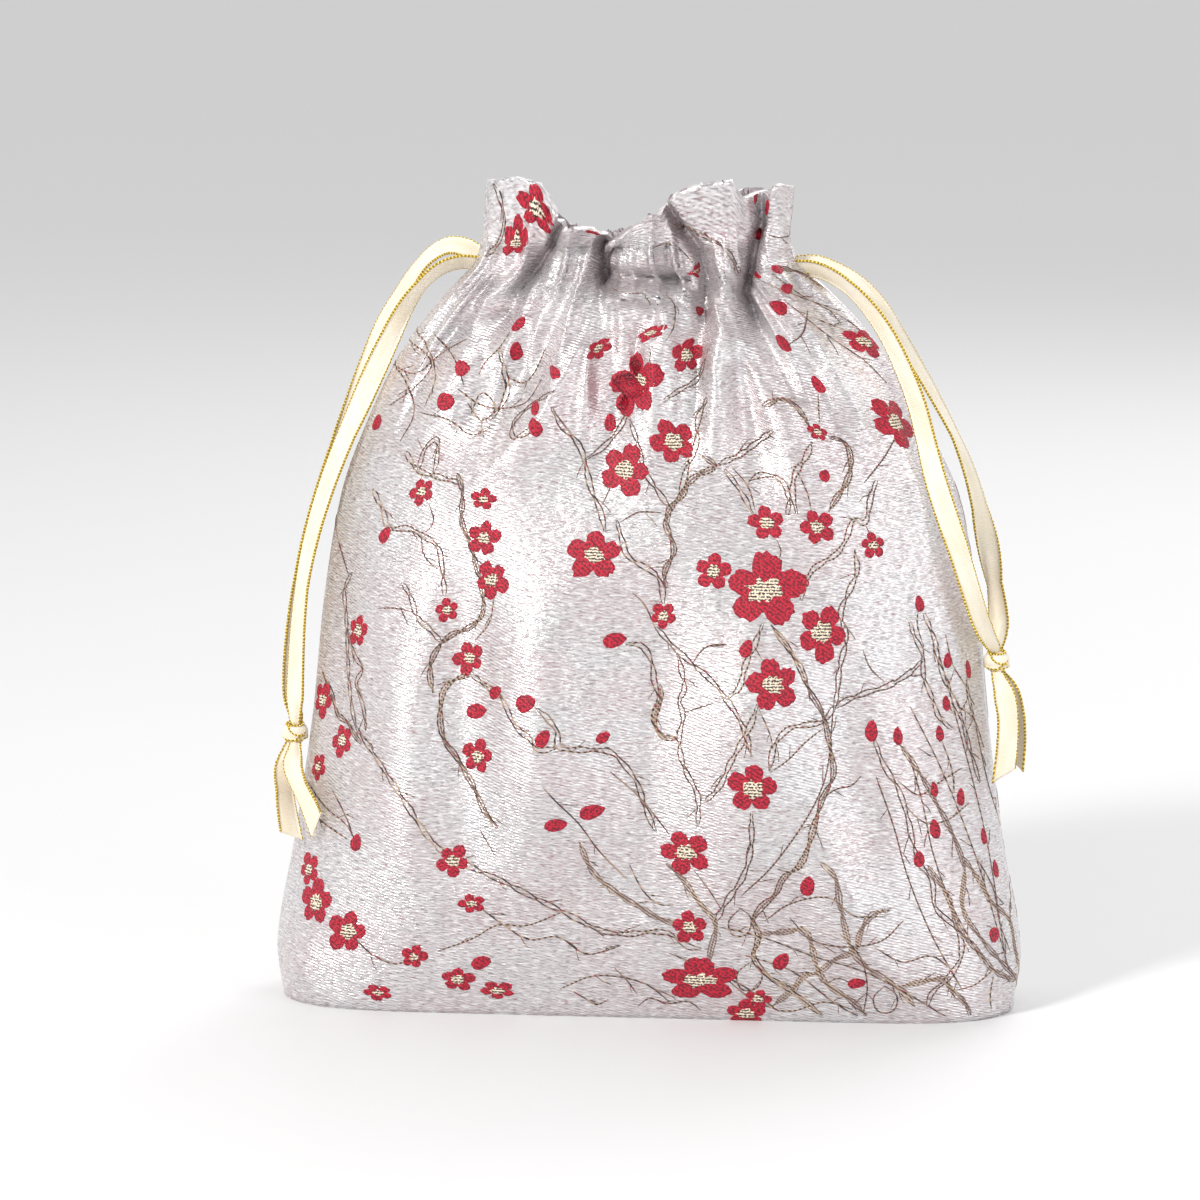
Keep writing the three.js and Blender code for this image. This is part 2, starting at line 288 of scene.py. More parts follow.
def floor_material():
    """Plain pale floor with the faintest unevenness."""
    n = Nodes("pale_floor")
    where = n.node("ShaderNodeTexCoord")
    texture = n.node("ShaderNodeTexNoise")
    texture.inputs["Scale"].default_value = 60.0
    n.join(where.outputs["Object"], texture.inputs["Vector"])
    colour = n.mix(n.value("MULTIPLY", texture.outputs["Fac"], 0.3), (0.76, 0.76, 0.77), (0.74, 0.74, 0.75))
    return n.finish(colour, Roughness=0.55)


# ---------------------------------------------------------------- the pouch's outline

# By height: half width, sideways lean, half depth, and the two exponents of the section
# y = depth * (1 - |x / width| ** square) ** round, which is boxy at the base and oval at the neck.
OUTLINE = np.array([
    (0, 105, 0, 29, 9, 0.5),
    (16, 107, 0, 34, 6, 0.54),
    (45, 102, 0, 39, 4.4, 0.6),
    (80, 97, 0.3, 42, 3.5, 0.65),
    (115, 93.4, 0.3, 40, 3, 0.69),
    (145, 88, 0.2, 35, 2.7, 0.7),
    (165, 79.5, -0.8, 29, 2.5, 0.68),
    (182, 70.5, -1.6, 23.5, 2.4, 0.64),
    (194, 61.5, -2.2, 19, 2.4, 0.58),
    (203, 53, -2.8, 16, 2.5, 0.52),
    (209, 46.5, -3.4, 14.5, 2.7, 0.48),
    (215, 44, -3.6, 14, 2.8, 0.46),
    (221, 43.5, -3.4, 15, 2.8, 0.46),
    (228, 43.5, -3, 16.5, 2.8, 0.48),
    (236, 43, -2.6, 18, 2.8, 0.5),
])
CLOTH_WIDTH = 250.0  # of one panel between its side seams, flat: as wide as its widest row
FRILL_FOOT = 215.0  # above this the rows follow the frill's wavy top edge
SIDES = {"front": -1, "back": 1}
PLEAT_SEEDS = {"front": 21.0, "back": 83.0}
RUMPLE_SEEDS = {"front": 3.0, "back": 57.0}
CLOTH_THICKNESS = 0.8
HEM_THICKNESS = 1.7  # cloth and the layer turned in behind it, from the casing up
SEAM_GAP = 0.12

# The frill's top edge: place across and height.
FRILL_EDGE = {
    "front": [(-47, 232.5), (-44, 233), (-36, 234), (-31, 232.5), (-27.5, 226), (-24, 219.5), (-19, 220),
              (-15, 220), (-12, 218), (-10, 213), (-8, 216), (-3, 220.5), (3, 225), (7, 224.5), (9, 226),
              (13, 229), (19, 232.5), (25, 234), (28, 229), (31, 230), (36, 232.5), (42, 231)],
    "back": [(-47, 232), (-42, 231), (-36, 229), (-30, 222), (-24, 216.5), (-18, 216.5), (-12, 216),
             (-6, 217.5), (0, 218.5), (8, 219), (14, 224), (24, 229), (32, 229), (42, 231)],
}

# Folds: how sharp each is, 2 for a round fold and nearer 1 for a creased one, and its line's points as
# (x, z, height, half width). Height is out of the cloth, so a valley's is negative.
FOLDS = {
    "front": [
        # gathers, from the left
        (1.7, [(-22.8, 236, -9, 1.6), (-23.8, 224, -10, 1.6), (-26.2, 215, -9.5, 1.9), (-30.5, 208, -7, 2.6),
               (-35, 204, -4.5, 3), (-44, 199.5, 0, 4)]),
        (2, [(-19.5, 224, 3, 5), (-21.4, 210, 3, 5), (-22.6, 194, 2.4, 6), (-23.4, 180, 0, 8)]),
        (1.7, [(-9.5, 236, -9, 3), (-10.9, 220, -10, 2.8), (-11.7, 206, -8.5, 2.5), (-13, 195, -4, 3.2),
               (-17, 180, 0, 5)]),
        (1.5, [(-12, 207.4, -5, 2.2), (-2.3, 207, -7, 2.4), (6.9, 206, -7, 2.4), (12.4, 206, -3, 2.2)]),
        (1.6, [(-12.6, 201, 3, 3.4), (-4, 202.6, 6.4, 3), (5, 201.6, 6, 3), (12, 200.6, 2, 3.4)]),
        (2, [(2, 232, 4, 8), (2, 213, 4.5, 7), (1.1, 206.5, 2, 6), (0.5, 203, 0, 6)]),
        (1.6, [(8.5, 236, -9, 2.6), (11, 221.6, -9.5, 2.4), (14.9, 213, -9.5, 2.4), (16.9, 205.7, -8, 2.5),
               (16.8, 191, -4.5, 3.4), (14.9, 168, -2.6, 5), (12, 153.6, 0, 8)]),
        (2, [(22.9, 214, 3, 4), (21.7, 199, 4.4, 4.5), (19.6, 184, 3.8, 6), (19.6, 165, 2.2, 8),
             (20, 150, 0, 10)]),
        (1.6, [(30.5, 236, -9, 2.4), (31.5, 221, -9.5, 2.2), (29.4, 211, -8.5, 2.2), (27.9, 203, -8, 2.3),
               (30.9, 194, -6, 2.8), (37.1, 182.5, -3, 4), (43.4, 171, 0, 6)]),
        (2, [(36.3, 214, 2.4, 4.5), (40.6, 203, 2.2, 5), (47.7, 191, 0, 6)]),
        (1.7, [(38.8, 213, -4, 2.2), (43.4, 203, -3.4, 2.6), (52, 192.7, -2.4, 3), (59.1, 182.5, 0, 4)]),
        (1.8, [(-41.5, 209, 0, 2.6), (-44, 204, -2.4, 2.8), (-48, 198, -1.6, 3.5), (-54, 191, 0, 4.5)]),
        # long folds below the neck
        (1.3, [(-12, 198, 3.5, 6), (-20, 182, 5, 7), (-28, 170, 4.8, 8), (-41, 155, 3, 9),
               (-52, 143.8, 0, 10)]),
        (2, [(-22.3, 193, -2, 5), (-30, 181, -3.6, 7), (-39, 171, -2.8, 8), (-50, 161, 0, 9)]),
        (1.6, [(-33.7, 205.4, 2.4, 3), (-46.3, 199.6, 3.2, 4), (-58, 195, 0, 4)]),
        (2, [(-32, 199, -2, 3), (-45, 192.7, -2.6, 4), (-59.4, 186.9, 0, 5)]),
        (2, [(-42.3, 189.8, 1.4, 6), (-55, 174, 1.8, 8), (-62, 159, 0, 10)]),
        (1.6, [(-1, 192, -2, 3), (-4, 176, -2.4, 4), (-8, 160, -1.4, 7), (-14, 143, 0, 10)]),
        (1.7, [(6, 196, 1.8, 4), (4, 180, 2.4, 5), (2, 160, 1.4, 8), (0, 140, 0, 12)]),
        (2, [(33, 188, 2.4, 5), (40, 172, 2.6, 7), (48, 152, 1.4, 10), (54, 132, 0, 14)]),
        (2, [(27, 180, -2.2, 4), (30, 165, -2, 6), (33, 145, -1, 9), (36, 128, 0, 12)]),
        (2, [(52, 186, 1.6, 4), (60, 170, 1.8, 6), (67, 150, 0, 9)]),
        # soft waves of the filled belly
        (2, [(-24, 136, 0, 11), (-26, 108, 2.6, 12), (-27, 70, 2.8, 13), (-24, 34, 0, 15)]),
        (2, [(-46, 142, 0, 8), (-47, 112, -2.4, 9), (-47, 76, -2.2, 10), (-45, 36, 0, 11)]),
        (2, [(-64, 124, 0, 8), (-66, 92, 2.0, 9), (-66, 55, 2.3, 11), (-60, 20, 0, 13)]),
        (2, [(8, 132, 0, 9), (6, 98, -2.0, 11), (4, 60, -1.8, 11), (4, 28, 0, 13)]),
        (2, [(36, 124, 0, 10), (34, 92, 1.8, 11), (32, 55, 1.4, 13), (28, 26, 0, 14)]),
        (2, [(56, 112, 0, 8), (58, 80, -1.8, 8), (62, 50, -2.0, 8), (70, 18, 0, 9)]),
        (1.7, [(50, 68, 0, 9), (58, 46, 2.6, 10), (64, 26, 2.0, 11), (72, 8, 0, 12)]),
        (1.2, [(56, 197, 0, 3), (67, 172, 2.0, 3), (76, 153, 2.2, 3), (88, 105, 1.6, 3.4), (97, 62, 1.2, 4),
               (102, 22, 0, 4)]),
        (2, [(62, 196, 0, 3), (74, 168, -1.6, 4), (82, 145, -1.8, 4), (92, 100, -1.0, 4), (99, 60, 0, 4)]),
        (1.8, [(-78, 150, 0, 5), (-84, 122, -1.3, 6), (-86, 90, -1.2, 6), (-90, 50, 0, 7)]),
        (1.6, [(-88, 20, 0, 5), (-97, 12, 1.4, 6), (-103, 4, 0, 5)]),
        (1.6, [(84, 34, 0, 6), (95, 22, 1.4, 6), (101, 6, 0, 5)]),
    ],
    "back": [
        (1.7, [(-33, 236, -7.5, 2.6), (-32, 214, -9, 2.4), (-36, 200, -6, 3.4), (-44, 184, -2.5, 5),
               (-52, 166, 0, 8)]),
        (1.7, [(-17, 236, -8, 2.8), (-18.5, 214, -9.5, 2.4), (-20, 198, -6.5, 3.4), (-25, 178, -2.6, 6),
               (-30, 152, 0, 9)]),
        (1.7, [(-4, 236, -7, 2.8), (-5.5, 214, -9, 2.4), (-5, 199, -5.5, 3.4), (-3, 184, 0, 6)]),
        (1.6, [(8, 236, -8, 2.6), (8.5, 214, -9.5, 2.4), (10, 196, -6.4, 3.2), (15, 174, -2.6, 6),
               (20, 146, 0, 10)]),
        (1.7, [(22, 236, -7.5, 2.8), (22.5, 214, -9, 2.4), (26, 199, -5.5, 3.4), (34, 180, -1.8, 6),
               (42, 162, 0, 8)]),
        (1.7, [(34, 236, -6, 2.4), (34.5, 214, -7.5, 2.2), (40, 201, -4.5, 3.2), (50, 188, 0, 5)]),
        (2, [(-26, 214, 2.5, 4), (-29, 196, 3.6, 5), (-36, 172, 2.6, 8), (-42, 140, 0, 12)]),
        (2, [(-11, 214, 2.5, 4), (-12, 194, 3.4, 5.5), (-15, 166, 2.4, 8), (-16, 134, 0, 12)]),
        (2, [(2, 214, 2, 4), (3, 194, 3, 5), (5, 170, 2, 8), (8, 140, 0, 12)]),
        (2, [(15, 214, 2.5, 4), (18, 194, 3.4, 5), (24, 168, 2.6, 8), (30, 138, 0, 12)]),
        (2, [(29, 214, 2, 4), (34, 196, 2.8, 5), (44, 172, 1.8, 8), (54, 148, 0, 11)]),
        (2, [(-60, 140, 0, 10), (-62, 100, 1.8, 13), (-62, 60, 1.6, 14), (-58, 24, 0, 14)]),
        (2, [(-30, 130, 0, 11), (-32, 95, -1.6, 13), (-34, 55, -1.4, 14), (-34, 20, 0, 14)]),
        (2, [(4, 130, 0, 12), (2, 92, 1.6, 14), (0, 56, 1.4, 14), (0, 20, 0, 14)]),
        (2, [(36, 130, 0, 11), (38, 96, -1.5, 12), (40, 60, -1.3, 13), (42, 24, 0, 14)]),
        (2, [(64, 140, 0, 9), (68, 104, 1.5, 11), (70, 64, 1.5, 12), (68, 24, 0, 14)]),
    ],
}

# Where the frill's lobes lean sideways at their tops: place across, half width, shift at the top.
FRILL_SWAY = {
    "front": [(14, 7, -6.0), (-30, 6, 2.5), (-16, 5, 1.5), (36, 5, 2.0)],
    "back": [(-24, 7, 3.0), (14, 7, -3.0), (-8, 5, 2.0)],
}
# Where they lean out or in at their tops, the same way; out of the pouch is positive.
FRILL_LEAN = {
    "front": [(-40, 6, 3.5), (-20, 5, 2.5), (1, 7, -1.5), (22, 8, 5.0), (38, 5, 2.5)],
    "back": [(-38, 7, 3.0), (-12, 8, -2.0), (10, 8, 2.5), (32, 8, 3.0)],
}

FOLD_STRENGTH = 1.7  # of the folds on the belly
NECK_STRENGTH = 1.1  # of those at the neck
NECK_WIDTH = 0.72  # how wide the neck's folds are, as a share of the widths above

COLUMNS = 210
BASE_ROWS = 12
WALL_ROWS = 140
FRILL_ROWS = 20
SAMPLES_ACROSS = 900  # of a row, before its points are spaced evenly
WALL_FOOT = 1.5  # height of the wall's lowest row
CASING_FOOT = 196.0  # above this the cloth is doubled
SEAM_EASE = 0.93  # share of the half width where folds begin to fade towards the seam
LEAST_DEPTH = 2.2  # that a fold leaves between the cloth and the seams' plane
SEAM_PINCH = 1.0
TINY = 1e-12
INSIDE = 1e-6  # keeps a place on the grid's edge within its last cell


def outline_at(z):
    """Half width, lean, half depth, square and round at each height, eased between the stations."""
    heights = OUTLINE[:, 0]
    z = np.clip(z, heights[0], heights[-1])
    last = len(heights) - 1
    upper = np.clip(np.searchsorted(heights, z), 1, last)
    lower = upper - 1
    before, after = np.maximum(lower - 1, 0), np.minimum(upper + 1, last)
    span = heights[upper] - heights[lower]
    share = ((z - heights[lower]) / span)[..., None]
    low, high = OUTLINE[lower, 1:], OUTLINE[upper, 1:]
    slope_low = (high - OUTLINE[before, 1:]) / (heights[upper] - heights[before])[..., None]
    slope_high = (OUTLINE[after, 1:] - low) / (heights[after] - heights[lower])[..., None]
    square, cube = share ** 2, share ** 3
    span = span[..., None]
    return (
        (2 * cube - 3 * square + 1) * low
        + (cube - 2 * square + share) * slope_low * span
        + (3 * square - 2 * cube) * high
        + (cube - square) * slope_high * span
    )


def smooth(low, high, value):
    """0 at low, 1 at high, eased between."""
    share = np.clip((value - low) / (high - low), 0, 1)
    return share * share * (3 - 2 * share)


def fold_height(side, x, z):
    """The sum of all folds at each point of a panel's face."""
    total = np.zeros_like(x)
    at_neck = smooth(188, 206, z)
    narrower = 1 + (NECK_WIDTH - 1) * at_neck
    for sharp, line in FOLDS[side]:
        line = np.array(line, float)
        nearest = np.full_like(x, 1e9)
        height = np.zeros_like(x)
        width = np.ones_like(x)
        for start, end in zip(line[:-1], line[1:]):
            run = end[:2] - start[:2]
            share = ((x - start[0]) * run[0] + (z - start[1]) * run[1]) / (run @ run)
            share = np.clip(share, 0, 1)
            away = np.hypot(x - start[0] - share * run[0], z - start[1] - share * run[1])
            closer = away < nearest
            nearest = np.where(closer, away, nearest)
            height = np.where(closer, start[2] + share * (end[2] - start[2]), height)
            width = np.where(closer, start[3] + share * (end[3] - start[3]), width)
        total += height * np.exp(-((nearest / (width * narrower)) ** sharp))
    return total * (FOLD_STRENGTH + (NECK_STRENGTH - FOLD_STRENGTH) * at_neck)


def noise_at(a, b, seed):
    """Smooth noise from -1 to 1 at each pair of numbers."""
    return np.array([noise.noise(Vector((first, second, seed))) for first, second in zip(a, b)])


def pleats(across, z, seed):
    """Small pleats that the ribbons draw up at the neck and that fan out and fade below it. across is the
    share of the half width."""
    strength = smooth(148, 204, z) * (1 - 0.45 * smooth(212, 218, z))
    broad = np.abs(noise_at(across * 7.5, z * 0.014, seed))
    narrow = np.abs(noise_at(across * 15, z * 0.024, seed + 5))
    return (4.2 * (0.42 - broad * 1.9) + 2.2 * (0.3 - narrow * 1.4)) * strength


def rumple(x, z, seed):
    """Small unevenness of cloth that has been handled."""
    return (
        0.55 * noise_at(x * 0.045, z * 0.03, seed)
        + 0.3 * noise_at(x * 0.11, z * 0.07, seed + 7)
        + 0.12 * noise_at(x * 0.3, z * 0.22, seed + 13)
    )


def gaussians(entries, x):
    """The sum of bumps given as (place, half width, height)."""
    return sum(height * np.exp(-(((x - place) / reach) ** 2)) for place, reach, height in entries)


def steps_up(grid):
    """Distances from each row of a grid to the next."""
    return np.linalg.norm(np.diff(grid, axis=0), axis=2)


def lengths_along(line):
    """How far along a line each of its points is."""
    steps = np.linalg.norm(np.diff(line, axis=0), axis=1)
    return np.concatenate([[0], np.cumsum(steps)])


def spaced(line, along, count):
    """That many points evenly spaced on a line, whose points are at those distances along it."""
    wanted = np.linspace(0, along[-1], count)
    return np.stack([np.interp(wanted, along, line[:, axis]) for axis in range(line.shape[1])], axis=1)


def unit(vectors):
    """The vectors' directions, at length one."""
    return vectors / (np.linalg.norm(vectors, axis=-1, keepdims=True) + TINY)


class Panel:
    """One panel's outer face on a grid of rows (up the cloth) and columns (its warp threads)."""

    def __init__(self, side):
        self.side = side
        self.out = SIDES[side]
        across = np.sin(np.linspace(-1, 1, SAMPLES_ACROSS) * math.pi / 2)
        share_up = np.linspace(0, 1, WALL_ROWS)
        closer_at_neck = 0.65 * share_up + 0.35 * (1 - (1 - share_up) ** 2)
        wall_z = WALL_FOOT + (FRILL_FOOT - WALL_FOOT) * closer_at_neck
        shares = np.linspace(0, 1, FRILL_ROWS + 1)[1:]
        rows = [self.section(across, np.full_like(across, z), None) for z in wall_z]
        rows += [self.section(across, None, share) for share in shares]
        wall = np.array([self.even(row) for row in rows])
        self.grid = np.concatenate([self.base(wall[0]), wall])
        self.lengths()
        self.normals()

    def section(self, across, z, share):
        """One level line of the panel. A frill row is a share of the way up to the frill's top edge."""
        level = z[0] if share is None else FRILL_FOOT + (OUTLINE[-1, 0] - FRILL_FOOT) * share
        width, lean, depth, square, round_ = outline_at(np.array([level]))[0]
        x = lean + across * width
        if share is not None:
            edge = np.array(FRILL_EDGE[self.side], float)
            z = FRILL_FOOT + share * (np.interp(x, edge[:, 0], edge[:, 1]) - FRILL_FOOT)
        bow = (1 - np.abs(across) ** square) ** round_
        y = depth * bow
        off_seam = smooth(1.0, SEAM_EASE, np.abs(across))
        y = y + fold_height(self.side, x, z) * off_seam * smooth(0, 6, z)
        y = y + pleats(across, z, PLEAT_SEEDS[self.side]) * off_seam
        y = y + rumple(x, z, RUMPLE_SEEDS[self.side]) * off_seam * smooth(0, 12, z)
        if share is not None:
            rise = share ** 1.5
            y = y + gaussians(FRILL_LEAN[self.side], x) * rise * off_seam
            x = x + gaussians(FRILL_SWAY[self.side], x) * rise
        y = np.maximum(y, SEAM_GAP + LEAST_DEPTH * off_seam)
        x = x - np.sign(across) * SEAM_PINCH * smooth(0.985, 1.0, np.abs(across))
        return np.stack([x, self.out * y, z], axis=1)

    def even(self, row):
        """The same line with points evenly spaced along it, as the warp threads are."""
        return spaced(row, lengths_along(row[:, :2]), COLUMNS + 1)

    def base(self, foot):
        """The half base, from the seam in its middle out to the foot of the wall."""
        shares = np.linspace(0, 1, BASE_ROWS)[:, None]
        rows = np.empty((BASE_ROWS, COLUMNS + 1, 3))
        rows[:, :, 0] = foot[:, 0] * (1 - 0.006 * (1 - shares))
        reach = np.abs(foot[:, 1]) - 1.0
        rows[:, :, 1] = self.out * (SEAM_GAP + shares * np.maximum(reach - SEAM_GAP, 0.05))
        rows[:, :, 2] = 0.0
        return rows

    def lengths(self):
        """Flat cloth height of each row, measured up the middle columns and counted from the floor."""
        steps = steps_up(self.grid[:, COLUMNS // 3: 2 * COLUMNS // 3])
        self.v = np.concatenate([[0], np.cumsum(np.median(steps, axis=1))])
        self.v -= self.v[BASE_ROWS]
        self.u = np.linspace(-CLOTH_WIDTH / 2, CLOTH_WIDTH / 2, COLUMNS + 1)
        across = np.linalg.norm(np.diff(self.grid, axis=1), axis=2)
        self.across_scale = np.maximum(across / (CLOTH_WIDTH / COLUMNS), 0.3)
        self.up_scale = np.maximum(steps_up(self.grid) / np.diff(self.v)[:, None], 0.5)
        reach = np.concatenate([np.zeros((len(across), 1)), np.cumsum(across, axis=1)], axis=1)
        self.reach = reach - reach[:, COLUMNS // 2: COLUMNS // 2 + 1]

    def normals(self):
        """Outward normals of the grid's points."""
        up = np.gradient(self.grid, axis=0)
        along = np.gradient(self.grid, axis=1)
        self.normal = unit(np.cross(along, up) * -self.out)

    def shown(self, places):
        """Flat cloth coordinates of the cloth that shows at places on the layout's upright plane."""
        upright = np.stack([places[:, 0], np.zeros(len(places)), places[:, 1]], axis=1)
        wanted = seen(upright + LAYOUT_ORIGIN)
        faces_camera = self.normal @ -AHEAD > 0.05
        faces_camera[:BASE_ROWS] = False
        rows, columns = np.nonzero(faces_camera)
        pictures = seen(self.grid)
        nodes = pictures[rows, columns]
        found = []
        for place in wanted:
            nearest = np.argmin(((nodes - place) ** 2).sum(axis=1))
            row = min(max(rows[nearest], 1), len(self.v) - 2)
            column = min(max(columns[nearest], 1), COLUMNS - 1)
            by_column = (pictures[row, column + 1] - pictures[row, column - 1]) / 2
            by_row = (pictures[row + 1, column] - pictures[row - 1, column]) / 2
            away = place - pictures[row, column]
            steps = np.linalg.lstsq(np.stack([by_column, by_row], axis=1), away, rcond=None)[0]
            steps = np.clip(steps, -1, 1)
            found.append((
                np.interp(column + steps[0], np.arange(COLUMNS + 1), self.u),
                np.interp(row + steps[1], np.arange(len(self.v)), self.v),
            ))
        return np.array(found)

    def stretch(self, u, v):
        """How many millimetres on the panel one flat millimetre takes there, across and up."""
        column = np.clip(((u / CLOTH_WIDTH + 0.5) * COLUMNS).astype(int), 0, COLUMNS - 1)
        row = np.clip(np.interp(v, self.v, np.arange(len(self.v))).astype(int), 0, len(self.v) - 2)
        return np.stack([self.across_scale[row, column], self.up_scale[row, column]], axis=1)

    def lift(self, u, v, height):
        """Points at flat cloth coordinates, that far out of the cloth's face."""
        column = np.clip((u / CLOTH_WIDTH + 0.5) * COLUMNS, 0, COLUMNS - INSIDE)
        row = np.clip(np.interp(v, self.v, np.arange(len(self.v))), 0, len(self.v) - 1 - INSIDE)
        i, j = column.astype(int), row.astype(int)
        a, b = (column - i)[:, None], (row - j)[:, None]

        def blend(field):
            return (
                field[j, i] * (1 - a) * (1 - b) + field[j, i + 1] * a * (1 - b)
                + field[j + 1, i] * (1 - a) * b + field[j + 1, i + 1] * a * b
            )

        return blend(self.grid) + blend(self.normal) * np.asarray(height)[:, None]


# ---------------------------------------------------------------- meshes


def make_object(name, points, faces, uvs, materials, slots=None):
    """A mesh piece from points in millimetres, with flat cloth coordinates on every corner."""
    mesh = bpy.data.meshes.new(name)
    mesh.from_pydata([tuple(p) for p in np.asarray(points) * MM], [], faces)
    layer = mesh.uv_layers.new(name=WEAVE_MAP)
    corners = np.empty(len(mesh.loops), dtype=np.int32)
    mesh.loops.foreach_get("vertex_index", corners)
    layer.data.foreach_set("uv", (np.asarray(uvs, float)[corners] / UV_UNIT).ravel())
    for material in materials:
        mesh.materials.append(material)
    if slots is not None:
        mesh.polygons.foreach_set("material_index", np.asarray(slots, dtype=np.int32))
    mesh.polygons.foreach_set("use_smooth", np.ones(len(mesh.polygons), dtype=bool))
    mesh.update()
    made = bpy.data.objects.new(name, mesh)
    bpy.context.collection.objects.link(made)
    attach(made, "root")
    return made


def panel_object(panel, materials):
    """The panel's outer and inner faces and the edges between them, as one closed piece."""
    rows, columns, _ = panel.grid.shape
    hem_foot = np.interp(CASING_FOOT, panel.grid[:, COLUMNS // 2, 2], panel.v)
    thick = np.where(panel.v > hem_foot, HEM_THICKNESS, CLOTH_THICKNESS)
    inner = panel.grid - panel.normal * thick[:, None, None]
    inner[:, :, 1] = panel.out * np.maximum(panel.out * inner[:, :, 1], SEAM_GAP)
    inner[:, :, 2] = np.maximum(inner[:, :, 2], np.where(np.arange(rows) <= BASE_ROWS, 0.5, 0)[:, None])
    count = rows * columns
    points = np.concatenate([panel.grid.reshape(-1, 3), inner.reshape(-1, 3)])
    uv = np.stack([panel.reach.ravel(), np.repeat(panel.v, columns)], axis=1)
    faces, slots = [], []

    def add(face, slot):
        faces.append(face if panel.out < 0 else face[::-1])
        slots.append(slot)

    for row in range(rows - 1):
        for column in range(columns - 1):
            a = row * columns + column
            quad = (a, a + 1, a + columns + 1, a + columns)
            add(quad, 0)
            add(tuple(index + count for index in reversed(quad)), 1)
    for row in range(rows - 1):
        left = row * columns
        right = left + columns - 1
        add((left + columns, left + columns + count, left + count, left), 0)
        add((right, right + count, right + columns + count, right + columns), 0)
    top = (rows - 1) * columns
    for column in range(columns - 1):
        add((column + 1, column, column + count, column + 1 + count), 0)
        a = top + column
        add((a, a + 1, a + 1 + count, a + count), 0)
    made = make_object(f"{panel.side}_brocade", points, faces, np.concatenate([uv, uv]), materials, slots)
    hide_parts(f"{panel.side}_panel")
    return made


# ---------------------------------------------------------------- the woven pattern

# The pattern is laid out as it shows on the filled pouch's front: distances across and heights on an upright
# plane through this point, seen from the camera.
LAYOUT_ORIGIN = (1.3, -12.3, 0.0)

# Blossoms: across, height, width over the petals, and how tall it is for its width.
BLOSSOMS = [
    (-31.6, 226, 14, 1), (-37, 215.8, 8.6, 1), (-14.6, 186.6, 8.6, 1), (0.3, 191, 8, 1), (10.3, 185, 10, 1),
    (-3.4, 176.7, 18.4, 1), (6.9, 160.8, 13, 1), (-6.6, 152.8, 14.6, 1), (-15.4, 128.7, 14.2, 0.9),
    (-64, 145.8, 7.6, 1), (-46.6, 143.8, 7.4, 0.8), (-46.6, 133, 9.8, 1), (-44.3, 121, 10.6, 1),
    (-57, 112.3, 6.8, 1), (-50.6, 98.7, 9, 1), (-82.3, 106, 9.5, 1), (-87, 74.4, 9.6, 1), (-94, 66.6, 8, 1),
    (-48.3, 70.6, 9.8, 1), (18, 124.4, 9.8, 1), (32.6, 119.5, 22, 0.9), (33, 138.3, 9.8, 1),
    (47, 137.4, 10, 1), (62.6, 132.5, 7.4, 1), (47, 164, 5.6, 1), (48.6, 107.6, 14.6, 1.1),
    (35, 92.6, 14.6, 1), (4, 111.7, 7.2, 1), (29.4, 62.8, 14.4, 1), (10.3, 44.3, 14.6, 0.9),
    (11.7, 22.6, 10, 1), (14.6, 7.6, 22, 0.6), (31, 2.4, 8, 0.8), (27.7, -2, 12, 0.8),
    (-55.7, 40.3, 9.4, 1), (-50.3, 28, 7.6, 0.8), (-67, 12.2, 7.2, 1), (-54.6, 6, 9.6, 0.8),
    (-43, 3, 9.8, 0.6), (-77.4, 1.6, 8.4, 0.6), (-97, 37, 9.6, 1), (-95, 27.4, 13, 1), (-86, 19, 12.6, 1),
    (59.7, 189.4, 11, 1), (68.6, 167, 15, 1), (82.6, 160.3, 8, 1), (13, 208.6, 5, 1), (95, 87, 9, 1),
    (-92.6, 86, 10, 1),
]

